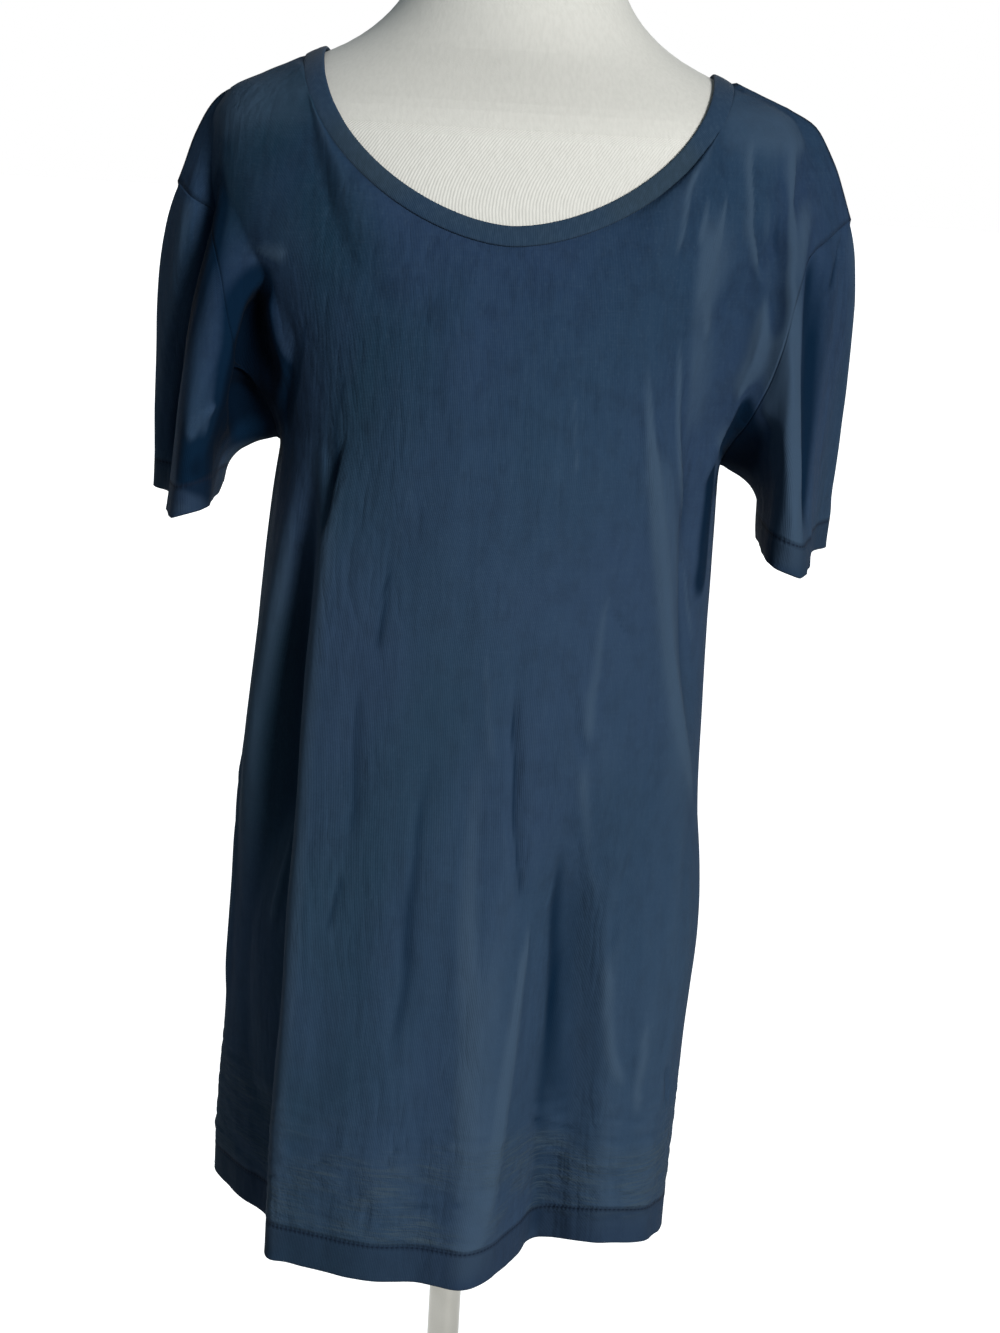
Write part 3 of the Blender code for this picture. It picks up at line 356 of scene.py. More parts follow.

# Painted shade in the cloth's deep places (over 0) and painted highlights on its crests and lit places
# (under 0), on lines like the creases
SHADES = {
    "columns": ("name", "seen", "top", "foot", "bow", "shade", "before", "after", "sharp", "opens"),
    "rows": (
        ("right sleeve, behind its front", "front", (-0.175, 0.045), (-0.213, 0.285),
         0.0, 3.6, 0.015, 0.013, 2.2, 0.6),
        ("right armpit", "front", (-0.148, 0.11), (-0.146, 0.265), 0.0, 3.2, 0.018, 0.018, 2.2, 0.5),
        ("right sleeve's front", "front", (-0.183, 0.08), (-0.198, 0.295), 0.0, 1.25, 0.016, 0.036, 2.4, 0.7),
        ("right sleeve's inner end", "front", (-0.14, 0.165), (-0.192, 0.295),
         0.0, 4.0, 0.014, 0.024, 2.4, 0.8),
        ("left chest, where it is lit", "front", (0.126, 0.06), (0.124, 0.24),
         0.0, -0.9, 0.008, 0.016, 2.0, 0.8),
        ("left chest, below the armhole", "front", (0.16, 0.06), (0.15, 0.2),
         0.008, -0.8, 0.005, 0.004, 1.6, 0.8),
        ("left shoulder's hollow", "front", (0.17, 0.055), (0.168, 0.165), 0.0, 0.5, 0.006, 0.006, 2.0, 0.8),
        ("right waist", "front", (-0.055, 0.15), (-0.058, 0.9), 0.0, 0.65, 0.045, 0.042, 2.4, 0.7),
        ("skirt's bright ridge", "front", (0.006, 0.38), (0.003, 0.72), 0.0, -0.8, 0.01, 0.006, 2.0, 0.7),
        ("skirt's dark trough", "front", (0.05, 0.42), (0.064, 0.72), 0.0, 0.3, 0.012, 0.014, 2.0, 0.6),
        ("left armpit", "front", (0.152, 0.18), (0.148, 0.27), 0.0, 2.2, 0.012, 0.018, 2.0, 0.6),
        ("left side, under the arm", "front", (0.139, 0.215), (0.14, 0.33), 0.0, 2.6, 0.007, 0.007, 2.0, 0.9),
        ("left sleeve, where it is lit", "front", (0.186, 0.055), (0.183, 0.215),
         0.0, -0.8, 0.009, 0.008, 2.0, 0.8),
        ("left sleeve's outer part", "front", (0.205, 0.07), (0.202, 0.29), 0.0, 1.3, 0.007, 0.018, 2.4, 0.8),
        ("left sleeve's front", "front", (0.17, 0.13), (0.18, 0.29), 0.0, -2.2, 0.014, 0.009, 2.0, 0.9),
    ),
}

# How much the cloth is smoothed before it is creased, and how high and wide the shallow creases stand. Deep
# ones keep the height and the width of their rows. Then come the height of a ridge that is painted as a full
# highlight and the depth of a trough that is painted as full shade.
CLOTH_SMOOTHING = 10
CREASE_STRENGTH = 0.85
CREASE_SPREAD = 0.62
DEEP_CREASE = 0.006
RIDGE_FOR_FULL_HIGHLIGHT = 0.0022
TROUGH_FOR_FULL_SHADE = 0.0045
CREASE_REACH = 3.2
CREASE_ENDS = 0.22
CREASE_OPEN_AT = 0.6
CREASE_ROUNDING = 0.12
CREASE_SEARCH = 0.003

# Soft unevenness of the whole cloth: its size across and along, and how high it stands. The crinkle over the
# hem has a coarse and a fine size, and starts and stops over the given heights.
RIPPLES = (
    (0.016, 0.090, 0.00085),
    (0.040, 0.110, 0.00190),
    (0.007, 0.030, 0.00022),
)
CRINKLE_SIZE = (0.020, 0.0055)
CRINKLE_FINE = (0.008, 0.003)
CRINKLE_FINE_SHARE = 0.6
CRINKLE_HEIGHT = 0.00075
CRINKLE_START = (0.035, 0.03)
CRINKLE_STOP = (0.012, 0.02)

# Seams: how deep the allowance turns in, how the neck's edge is tucked under the binding and seated on the
# form, and how far and how wide a seam is pressed down
SEAM_TURN = 0.0018
SEAM_TURN_IN = (0.06, 0.4)
EDGE_AVERAGING = 8
NECK_TUCK = 0.0030
NECK_TUCK_DOWN = (0.12, 0.20)
NECK_TUCK_ON = 0.4
NECK_SEAT = 0.0021
NECK_SEAT_ROWS = 7
NECK_SEAT_COLUMNS = 12
SEAM_PRESS = 0.0005
SEAM_WIDTH = 0.0035

# Fold depth, by which the cloth is painted with shade in its hollows and highlights on its crests: the rounds
# of smoothing that find the cloth's level, the depth that is full, and its weight
FOLD_SCALES = ((6, 0.0006, 0.30), (90, 0.0050, 0.45), (400, 0.0120, 0.75))

# The neck binding's section: the share of its width from the seam to the fold, and of its depth
BAND_CLOTH = 0.0005
BAND_WAVE = 0.0006
BAND_WAVES_A_METRE = 22
BAND_STEPS = 26
BINDING_SECTION = {
    "columns": ("across", "height"),
    "rows": (
        (0.03, 0.05),
        (0.50, 0.00),
        (0.92, 0.05),
        (1.00, 0.50),
        (0.92, 0.95),
        (0.50, 1.12),
        (0.08, 0.95),
        (0.00, 0.55),
    ),
}

# The form's rounded ends
FORM_ROWS = 150
FORM_COLUMNS_ROUND = 220
FORM_ROUND = 0.004
FORM_ROUND_SHARE = 0.05
FORM_TURNS = (0.5, 1.0, 1.5)

# Colours
NAVY = (0.0140, 0.0330, 0.0640, 1.0)
# painted shade: a darker teal for the wearer's right side, where less light falls
TEAL_SIDE_SHADE = (0.0070, 0.0260, 0.0450, 1.0)
INDIGO = (0.0170, 0.0340, 0.0710, 1.0)
# paler fibres and streaks, and painted light that makes the lower cloth paler
PALE_FIBRE_AND_LIGHT = (0.0360, 0.0630, 0.1000, 1.0)
# painted light: the greyer look where light shines through cloth that hangs free of the form
LIGHT_THROUGH_CLOTH = (0.0360, 0.0560, 0.0760, 1.0)
BINDING = (0.0200, 0.0370, 0.0560, 1.0)
# dark thread and specks, and painted shade in the hem's groove and on its band of double cloth
THREAD_AND_SHADE = (0.0055, 0.0100, 0.0210, 1.0)
# The next three are painted: shade in the cloth's folds, deeper shade in its deepest places, and a highlight
# on its crests and lit places
SHADED = (0.0005, 0.0085, 0.0230, 1.0)
DEEPEST_PAINTED_SHADE = (0.0002, 0.0020, 0.0060, 1.0)
PAINTED_HIGHLIGHT = (0.0420, 0.0700, 0.1080, 1.0)
CREAM = (0.605, 0.590, 0.540, 1.0)
CREAM_GREY = (0.572, 0.560, 0.515, 1.0)
CREAM_SHADE = (0.400, 0.388, 0.350, 1.0)
STEEL = (0.37, 0.36, 0.33, 1.0)
STEEL_DULL = (0.25, 0.24, 0.21, 1.0)

# Pitches of the knit, the cover's ribs and the hem's stitches, and where their row lies and how wide it is
WALE_PITCH = 0.0011
COURSE_PITCH = 0.0009
RIB_PITCH = 0.0020
STITCH_PITCH = 0.0032
STITCH_LOW = 0.0015
STITCH_HALF_WIDTH = 0.0009
GROOVE_HALF_WIDTH = 0.0030

# Heights between which painted light makes the cloth paler downwards, where it starts to hang free of the
# form, and the hem's top
PAINTED_LIGHT_FROM = 1.34
PAINTED_LIGHT_FULL = 1.08
LOOSE_TOP = SHOULDER_HEIGHT - 0.655
LOOSE_LOW = SHOULDER_HEIGHT - 0.685
HEM_TOP = SHOULDER_HEIGHT - HEM_DROP + BODY_HEM

# Studio
FLOOR_SIZE = 60.0
FLOOR_GLOW = 0.75
FLOOR_GAP = 0.0005
FLOOR_TONES = ((0.90, 0.90, 0.89, 1.0), (0.94, 0.94, 0.93, 1.0))
SURROUND = 0.19
SURROUND_TINT = (0.70, 0.89, 1.0)
BACKGROUND = 1.0
KEY_WAY = (-0.48, 0.83, -0.28)
KEY_STRENGTH = 3.95
KEY_SOFTNESS = 20.0
FILL_WAY = (0.10, -0.97, -0.22)
FILL_STRENGTH = 1.1
FILL_SOFTNESS = 60.0

# Stand, with the widths by which its pieces' edges are eased
POLE_RADIUS = 0.011
POLE_EDGE = 0.0006
FIT_GAP = 0.0003
HUB_RADIUS = 0.021
HUB_HEIGHT = 0.018
SOCKET_FLOOR = 0.0025
FOOT_THICKNESS = 0.008
FOOT_EDGE = 0.0016
COLLAR_RADIUS = 0.017
COLLAR_SOCKET = 0.010
FLANGE_THICKNESS = 0.004
FLANGE_EDGE = 0.0008

# View
EYE = (0.013, -1.60, 1.406)
EYE_PITCH = 13.0
EYE_ROLL = 3.32
LENS = 67.52


# ---------------------------------------------------------------- smooth curves and the cloth's broad shape


def smooth(position, stations, values):
    """The value at a position on a smooth curve through the stations that never overshoots them."""
    stations = np.asarray(stations, float)
    values = np.asarray(values, float)
    step = np.diff(stations)
    rise = np.diff(values) / step
    slope = np.zeros(len(values))
    same_way = rise[:-1] * rise[1:] > 0
    total = np.where(same_way, rise[:-1] + rise[1:], 1.0)
    slope[1:-1] = np.where(same_way, 2 * rise[:-1] * rise[1:] / total, 0.0)
    slope[0] = rise[0]
    slope[-1] = rise[-1]
    position = np.clip(position, stations[0], stations[-1])
    span = np.clip(np.searchsorted(stations, position) - 1, 0, len(step) - 1)
    t = (position - stations[span]) / step[span]
    start = (2 * t**3 - 3 * t**2 + 1) * values[span] + (t**3 - 2 * t**2 + t) * step[span] * slope[span]
    end = (3 * t**2 - 2 * t**3) * values[span + 1] + (t**3 - t**2) * step[span] * slope[span + 1]
    return start + end


def at_drop(table, name, drop):
    rows = np.array(table["rows"], float)
    return smooth(drop, rows[:, 0], rows[:, table["columns"].index(name)])


def eased(share):
    """A share kept between 0 and 1 that starts and stops gently."""
    share = np.clip(share, 0, 1)
    return share**2 * (3 - 2 * share)


def unit(vectors):
    return vectors / np.maximum(np.linalg.norm(vectors, axis=-1, keepdims=True), 1e-12)


def relaxed(grid, rounds, ring=False):
    """A grid of points or values smoothed over its neighbours, leaving its border rows and columns."""
    grid = grid.copy()
    for _ in range(rounds):
        if ring:
            beside = (np.roll(grid, 1, axis=1) + np.roll(grid, -1, axis=1)) / 2
            mean = (grid[:-2] + grid[2:]) / 4 + beside[1:-1] / 2
            grid[1:-1] += 0.5 * (mean - grid[1:-1])
        else:
            mean = (grid[:-2, 1:-1] + grid[2:, 1:-1] + grid[1:-1, :-2] + grid[1:-1, 2:]) / 4
            grid[1:-1, 1:-1] += 0.5 * (mean - grid[1:-1, 1:-1])
    return grid


def place(x, y, drop):
    """A point, or points, from its place across, its depth and its drop."""
    return np.stack(np.broadcast_arrays(x, y, SHOULDER_HEIGHT - np.asarray(drop, float)), axis=-1)


def curve(t, start, leaving, end, arriving):
    """The places at the shares t of a curve from its start to its end, which leaves and arrives as given."""
    first = (2 * t**3 - 3 * t**2 + 1) * start + (t**3 - 2 * t**2 + t) * leaving
    return first + (3 * t**2 - 2 * t**3) * end + (t**3 - t**2) * arriving


def averaged(rows, rounds):
    """A line's points or directions averaged with their neighbours, leaving its ends."""
    rows = rows.copy()
    for _ in range(rounds):
        rows[1:-1] = (rows[:-2] + 2 * rows[1:-1] + rows[2:]) / 4
    return rows


def spans_through(points, closed, samples=24):
    """Dense points along a smooth curve, one array for each span between the given points."""
    points = np.asarray(points, float)
    count = len(points)
    if closed:
        points = np.concatenate([points[-1:], points, points[:2]])
    else:
        points = np.concatenate([2 * points[:1] - points[1:2], points, 2 * points[-1:] - points[-2:-1]])
    step = np.sqrt(np.linalg.norm(np.diff(points, axis=0), axis=1))
    t = np.linspace(0, 1, samples + 1)[:, None]
    spans = []
    for i in range(1, count + (1 if closed else 0)):
        before, span, after = step[i - 1], step[i], step[i + 1]
        chord = points[i + 1] - points[i]
        start = (points[i] - points[i - 1]) / before - (points[i + 1] - points[i - 1]) / (before + span)
        end = (points[i + 2] - points[i + 1]) / after - (points[i + 2] - points[i]) / (span + after)
        spans.append(curve(t, points[i], span * start + chord, points[i + 1], span * end + chord))
    return spans


def joined(spans):
    return np.concatenate([spans[0]] + [span[1:] for span in spans[1:]])


def evenly(points, count):
    """count + 1 evenly spaced points along a dense line of points."""
    lengths = np.concatenate([[0], np.cumsum(np.linalg.norm(np.diff(points, axis=0), axis=1))])
    wanted = np.linspace(0, lengths[-1], count + 1)
    return np.stack([np.interp(wanted, lengths, points[:, axis]) for axis in range(points.shape[1])], axis=1)


def form_depth(side, drop):
    """The form's reach from its middle to the front where side is under 0, and to the back elsewhere."""
    return np.where(side < 0, at_drop(FORM_SECTIONS, "front", drop), at_drop(FORM_SECTIONS, "back", drop))


def outside_form(points):
    """How far outside the form each point is, roughly, and the way straight out of it there."""
    def value(where):
        drop = SHOULDER_HEIGHT - where[..., 2]
        power = at_drop(FORM_SECTIONS, "power", drop)
        depth = form_depth(where[..., 1], drop)
        across = np.abs(where[..., 0]) / at_drop(FORM_SECTIONS, "half_width", drop)
        return (across**power + (np.abs(where[..., 1]) / depth) ** power) ** (1 / power) - 1

    nudge = 0.0005
    here = value(points)
    slopes = []
    for axis in range(3):
        step = np.zeros(3)
        step[axis] = nudge
        slopes.append((value(points + step) - value(points - step)) / (2 * nudge))
    slopes = np.stack(slopes, axis=-1)
    steepness = np.linalg.norm(slopes, axis=-1)
    return here / steepness, slopes / steepness[..., None]


def clear_of_form(points, clearance, rounds=6):
    """Moves points straight out where they come nearer to the form than the clearance."""
    for _ in range(rounds):
        distance, out = outside_form(points)
        past_edge = np.clip(SHOULDER_HEIGHT - FORM_EDGE_DROP - points[..., 2], 0, None)
        wanted = clearance - past_edge * FORM_EDGE_SLOPE
        points = points + out * np.clip(wanted - distance, 0, None)[..., None]
    return points


def on_form(points):
    """Clears cloth of the form, by more where it bends over the corner of a shoulder."""
    toward_tip = np.clip((np.abs(points[..., 0]) - SHOULDER_LIFT_FROM) / SHOULDER_LIFT_OVER, 0, 1)
    return clear_of_form(points, CLOTH_OFF_FORM + (CLOTH_OFF_SHOULDER - CLOTH_OFF_FORM) * toward_tip)


def body_ring(drop):
    """Dense points of the body at one drop: along the front from right to left, then likewise the back."""
    front = at_drop(BODY_SECTIONS, "front", drop)
    back = at_drop(BODY_SECTIONS, "back", drop)
    side_right = at_drop(BODY_SECTIONS, "side_right", drop)
    side_left = at_drop(BODY_SECTIONS, "side_left", drop)
    fold = {name: at_drop(SIDE_FOLD, name, drop) for name in SIDE_FOLD["columns"][1:]}
    down = np.clip((drop - ARMPIT_DROP) / (HEM_DROP - ARMPIT_DROP), 0, 1)
    right = BODY_RIGHT[0] + (BODY_RIGHT[1] - BODY_RIGHT[0]) * down**BODY_RIGHT_EASE
    swell = HIP_SWELL * np.exp(-(((drop - HIP_DROP) / HIP_REACH) ** 2))
    left = BODY_LEFT[0] + (BODY_LEFT[1] - BODY_LEFT[0]) * down + swell
    edge = FOLD_EDGE[0] + (FOLD_EDGE[1] - FOLD_EDGE[0]) * down**FOLD_EDGE_EASE
    toward = np.clip(down / FOLD_CREST_FULL, 0, 1)
    crest = FOLD_CREST[0] + (FOLD_CREST[1] - FOLD_CREST[0]) * toward**2 * (3 - 2 * toward)
    forward = [(-right, side_right), (-crest, fold["crest_y"]), (-fold["valley_x"], fold["valley_y"])]
    for share in FOLD_SHARES:
        forward.append((-edge * share, -front + (fold["edge_y"] + front) * share**FOLD_EASE))
    for turn in FRONT_TURNS:
        across = np.cos(np.radians(turn)) ** (2 / BODY_POWER)
        ahead = np.sin(np.radians(turn)) ** (2 / BODY_POWER)
        forward.append((left * across, side_left - (front + side_left) * ahead))
    behind = [(left, side_left)]
    for turn in BACK_TURNS:
        across = np.cos(np.radians(turn))
        width = left if across > 0 else right
        middle = side_left if across > 0 else side_right
        ahead = np.sin(np.radians(turn)) ** (2 / BODY_POWER)
        reach = np.sign(across) * np.abs(across) ** (2 / BODY_POWER)
        behind.append((width * reach, middle + (back - middle) * ahead))
    spans = spans_through(forward + behind, closed=True)
    ahead = joined(spans[: len(forward)])
    behind = joined(spans[len(forward) :])[::-1]
    return ahead, behind


def shoulder_edge(side):
    """The shoulder seam from the tip of the shoulder to the neck, at one side (1 is the wearer's left)."""
    neck = (NECK_HALF_WIDTH, 0.0, NECK_START_DROP)
    points = place(*np.array((SHOULDER_TIP,) + SHOULDER_SEAM[::-1] + (neck,)).T)
    points[:, 0] *= side
    return evenly(joined(spans_through(points, closed=False)), SHOULDER_COLUMNS)


def neck_edge(half_width, lowest, back, columns, off_form):
    """The neckline from the wearer's right to the left, lying on the form at the given distance from it."""
    turn = np.linspace(0, pi, 361)
    across = -np.sign(np.cos(turn)) * np.abs(np.cos(turn)) ** (2 / NECK_POWER)
    down = np.sin(turn) ** (2 / NECK_POWER)
    x = half_width * across
    drop = NECK_START_DROP + lowest * down
    near = at_drop(FORM_SECTIONS, "half_width", drop)
    power = at_drop(FORM_SECTIONS, "power", drop)
    depth = at_drop(FORM_SECTIONS, "back" if back else "front", drop)
    y = depth * np.clip(1 - (np.abs(x) / near) ** power, 0, 1) ** (1 / power)
    points = place(x, y if back else -y, drop)
    points[:, 0] += GARMENT_SHIFT
    for _ in range(8):
        distance, out = outside_form(points)
        points = points + out * (off_form - distance)[:, None]
    points[:, 0] -= GARMENT_SHIFT
    points[[0, -1], 1] = 0.0
    return evenly(points, columns)


def armhole_edge(side, way, armpit):
    """Half of an armhole's seam, from the armpit to the shoulder's tip, by way of the front or the back."""
    middle = place(*np.array(ARMHOLE[way]).T)
    tip = place(*SHOULDER_TIP)
    points = np.concatenate([[armpit * (side, 1, 1)], middle, [tip]])
    points[:, 0] *= side
    return evenly(joined(spans_through(points, closed=False)), YOKE_ROWS)


def yoke(bottom, top, way):
    """The part over the armpits: a loft up from the body's top ring to the shoulders and the neckline."""
    across = np.linspace(-1, 1, len(bottom))
    ahead = -1 if way == "front" else 1
    neck_share = np.clip(np.abs(top[:, 0]) / NECK_HALF_WIDTH, 0, 1) ** 2
    start = np.zeros_like(bottom)
    start[:, 0] = YOKE_FLARE * across * np.abs(across)
    start[:, 2] = YOKE_RISE[0] + YOKE_RISE[1] * neck_share
    end = np.zeros_like(bottom)
    end[:, 1] = -ahead * (YOKE_OVER[0] + YOKE_OVER[1] * neck_share)
    end[:, 2] = YOKE_ARRIVAL[0] + YOKE_ARRIVAL[1] * neck_share
    t = np.linspace(0, 1, YOKE_ROWS + 1)[:, None, None]
    grid = curve(t, bottom, start, top, end)
    for side, column in ((-1, 0), (1, -1)):
        edge = armhole_edge(side, way, bottom[column])
        beside = np.clip((across * side - ARMHOLE_PULL_FROM) / (1 - ARMHOLE_PULL_FROM), 0, 1)
        pull = beside**ARMHOLE_PULL_EASE
        grid = grid + pull[None, :, None] * (edge - grid[:, column])[:, None, :]
    return grid


def body_drops():
    """The drops of the body's rows from the hem up, closer together near the hem."""
    near = np.linspace(HEM_DROP, HEM_DROP - HEM_ROWS_REACH, HEM_ROWS + 1)
    return np.concatenate([near, np.linspace(near[-1], ARMPIT_DROP, UPPER_ROWS + 1)[1:]])


def panel_points(way, rings):
    """The outer face of the front or back as rows of points, from the hem up, each row from right to left."""
    columns = COLUMNS[way]
    rows = []
    for drop, ring in zip(body_drops(), rings):
        flat = evenly(ring[0 if way == "front" else 1], columns)
        rows.append(place(flat[:, 0], flat[:, 1], drop))
    lowest = NECK_DROP_FRONT if way == "front" else NECK_DROP_BACK
    neck = neck_edge(NECK_HALF_WIDTH, lowest, way == "back", columns - 2 * SHOULDER_COLUMNS, NECK_OFF_FORM)
    right, left = shoulder_edge(-1), shoulder_edge(1)
    top = np.concatenate([right[:-1], neck, left[::-1][1:]])
    top[SHOULDER_COLUMNS] = (top[SHOULDER_COLUMNS] + right[-1]) / 2
    top[-SHOULDER_COLUMNS - 1] = (top[-SHOULDER_COLUMNS - 1] + left[-1]) / 2
    grid = np.concatenate([rows, yoke(rows[-1], top, way)[1:]])
    return folded(without_corner(grid), way)


def without_corner(grid):
    """Smooths the yoke across, more and more away from the corner of the neckline and the shoulder seam."""
    first = HEM_ROWS + UPPER_ROWS
    start = eased((np.arange(len(grid)) - first) / YOKE_SMOOTH_START)[:, None, None]
    for i in range(YOKE_SMOOTHING):
        last = len(grid) - 1 - i * YOKE_SMOOTH_TOP // YOKE_SMOOTHING
        mean = (grid[first:last, :-2] + grid[first:last, 2:]) / 2
        grid[first:last, 1:-1] += 0.5 * start[first:last] * (mean - grid[first:last, 1:-1])
    return grid


def folded(grid, way):
    """Adds the broad ridges and troughs of the front or the back, fading out at the panel's sides."""
    out = outward(grid)
    drop = SHOULDER_HEIGHT - grid[..., 2]
    across = np.linspace(-1, 1, grid.shape[1])[None, :]
    fade = np.clip((1 - np.abs(across)) / FOLD_FADE_AT_SIDES, 0, 1)
    height = np.zeros(drop.shape)
    for side, top_drop, top_x, foot_drop, foot_x, rise, half_width, opens in FOLDS["rows"]:
        if side != way:
            continue
        along = (drop - top_drop) / (foot_drop - top_drop)
        middle = top_x + (foot_x - top_x) * np.clip(along, 0, 1)
        start = eased(along / FOLD_FADE_AT_ENDS)
        finish = eased((1 - along) / FOLD_FADE_AT_ENDS)
        strength = start * (opens * (0.25 + 0.75 * along) + (1 - opens) * finish)
        strength = np.where((along >= 0) & (along <= 1.001), strength, 0)
        height += rise * strength * np.exp(-(((grid[..., 0] - middle) / half_width) ** 2))
    grid = grid + out * (height * fade)[..., None]
    if way == "front":
        low = eased((drop - HEM_LIFT_FROM) / (HEM_DROP - HEM_LIFT_FROM))
        beside = (grid[..., 0] - HEM_LIFT_AT) / HEM_LIFT_REACH
        grid[..., 2] += HEM_LIFT * low * fade * np.exp(-(beside**2))
    return grid


def outward(grid):
    """The way out of the cloth at each point of a grid with rows going up and columns from right to left."""
    cross = np.cross(np.gradient(grid, axis=1), np.gradient(grid, axis=0))
    return unit(-cross if grid[:, :, 1].mean() > 0.02 else cross)


def ring_outward(grid, side):
    """The way out of a sleeve, whose columns close into a ring."""
    wrapped = np.concatenate([grid[:, -1:], grid, grid[:, :1]], axis=1)
    along = (wrapped[:, 2:] - wrapped[:, :-2]) / 2
    return unit(side * np.cross(np.gradient(grid, axis=0), along))


def sleeve_points(name, side, armhole):
    """A sleeve's outer face as rows of points from its hem up to the armhole's own points."""
    trough, lean = SLEEVE_TROUGH[name], SLEEVE_LEAN[name]
    loop = np.array([SLEEVE_HEM["outer"], *SLEEVE_HEM["front"], SLEEVE_HEM["inner"], *SLEEVE_HEM["back"]])
    loop[2, 0] += trough
    spans = spans_through(loop, closed=True)
    halfway = len(SLEEVE_HEM["front"]) + 1
    ahead = evenly(joined(spans[:halfway]), YOKE_ROWS)
    behind = evenly(joined(spans[halfway:]), YOKE_ROWS)
    hem = np.concatenate([ahead, behind[1:-1]])
    inner = np.clip((SLEEVE_INNER_FROM - hem[:, 0]) / SLEEVE_INNER_WIDTH, 0, 1)
    hem = place((hem[:, 0] + lean) * side, hem[:, 1], SLEEVE_DROPS[name] - SLEEVE_INNER_RISE * inner)
    chord = hem - armhole
    away = armhole - armhole.mean(axis=0)
    away[:, 0] = 0
    low = np.clip(-away[:, 2] / SLEEVE_LOW_DEPTH, 0, 1)
    mirror = np.array((side, 1, 1))
    start = SLEEVE_CHORD_SHARE * chord + SLEEVE_SPREAD * away + np.array(SLEEVE_START) * mirror
    start[:, 0] += (SLEEVE_LOW_START * low + SLEEVE_LEAN_START * lean) * side
    end = SLEEVE_CHORD_SHARE * chord + np.array(SLEEVE_END) * mirror
    t = np.linspace(1, 0, SLEEVE_ROWS + 1)[:, None, None]
    return curve(t, armhole, start, hem, end)


# ---------------------------------------------------------------- creases


class Cloth:
    """One cut piece: its outer face as a grid of points, their normals and their places on the flat cloth."""

    def __init__(self, points, normals, ring):
        self.points = points
        self.normals = normals
        self.ring = ring
        self.flat = flat_places(points)

    def renew_normals(self):
        if self.ring:
            self.normals = ring_outward(self.points, 1 if self.points[..., 0].mean() > 0 else -1)
        else:
            self.normals = outward(self.points)


def flat_places(points):
    """Each point's place on the flat cloth, in metres: along the row from its middle, and up from the hem."""
    across = np.linalg.norm(np.diff(points, axis=1), axis=2)
    across = np.concatenate([np.zeros((len(points), 1)), np.cumsum(across, axis=1)], axis=1)
    across -= across[:, [across.shape[1] // 2]]
    up = np.linalg.norm(np.diff(points, axis=0), axis=2)
    up = np.concatenate([np.zeros((1, points.shape[1])), np.cumsum(up, axis=0)], axis=0)
    return np.stack([across, up], axis=-1)


LOOKS = {
    "front": (0, np.array((0.0, -1.0, 0.0))),
    "back": (0, np.array((0.0, 1.0, 0.0))),
    "right": (1, np.array((-1.0, 0.0, 0.0))),
    "left": (1, np.array((1.0, 0.0, 0.0))),
}


def bent(top, foot, bow, samples=24):
    """Points from the top to the foot of a crease that bows sideways in its middle."""
    top, foot = np.array(top), np.array(foot)
    way = (foot - top) / np.linalg.norm(foot - top)
    share = np.linspace(0, 1, samples + 1)[:, None]
    return top + (foot - top) * share + np.array((way[1], -way[0])) * bow * 4 * share * (1 - share)


def path_on_cloth(seen, path, pieces):
    """A crease's line in space and the cloth's way out there: its path, carried onto the outermost cloth."""
    axis, toward = LOOKS[seen]
    points = np.concatenate([piece.points.reshape(-1, 3) for piece in pieces])
    normals = np.concatenate([piece.normals.reshape(-1, 3) for piece in pieces])
    facing = normals @ toward > 0.02
    points = points[facing]
    normals = normals[facing]
    line = []
    ways = []
    for across, drop in path:
        off = np.hypot(points[:, axis] - across, points[:, 2] - (SHOULDER_HEIGHT - drop))
        nearby = np.flatnonzero(off <= off.min() + CREASE_SEARCH)
        best = nearby[np.argmax(points[nearby] @ toward)]
        line.append(points[best])
        ways.append(normals[best])
    return averaged(np.array(line), 3), np.array(ways)


def crease_height(points, normals, line, before, after, sharp, opens):
    """The crease's share of its full height at each point: 1 on its line, 0 far from it and at its ends."""
    step = np.diff(line, axis=0)
    length = np.linalg.norm(step, axis=1)
    start_at = np.concatenate([[0], np.cumsum(length)])
    total = start_at[-1]
    nearest = np.full(len(points), np.inf)
    along = np.zeros(len(points))
    side = np.zeros(len(points))
    for i in range(len(step)):
        away = points - line[i]
        t = np.clip(away @ step[i] / max(length[i] ** 2, 1e-12), 0, 1)
        off = away - t[:, None] * step[i]
        distance = np.linalg.norm(off, axis=1)
        closer = distance < nearest
        nearest = np.where(closer, distance, nearest)
        along = np.where(closer, (start_at[i] + t * length[i]) / total, along)
        turn = np.einsum("ij,ij->i", np.cross(normals, np.broadcast_to(step[i], points.shape)), off)
        side = np.where(closer, turn, side)
    smoother = eased(0.5 + np.clip(side / (1e-9 + nearest * np.median(length)), -1, 1) * 0.5)
    width = before * (1 - smoother) + after * smoother
    width = width * (opens + (1 - opens) * eased(along / CREASE_OPEN_AT))
    reach = (np.sqrt((nearest / width) ** 2 + CREASE_ROUNDING**2) - CREASE_ROUNDING) ** sharp
    return np.exp(-reach) * eased(along / CREASE_ENDS) * eased((1 - along) / CREASE_ENDS)


def shades_on(points, normals, shades):
    """How much painted shade (over 0) or painted highlight (under 0) each point gets by the table of shades.
    """
    total = np.zeros(len(points))
    for shade in shades:
        facing = np.clip(normals @ unit(shade["ways"].mean(axis=0)) * 2 + 0.5, 0, 1)
        shape = (shade["before"], shade["after"], shade["sharp"], shade["opens"])
        total += shade["shade"] * facing * crease_height(points, normals, shade["line"], *shape)
    return total


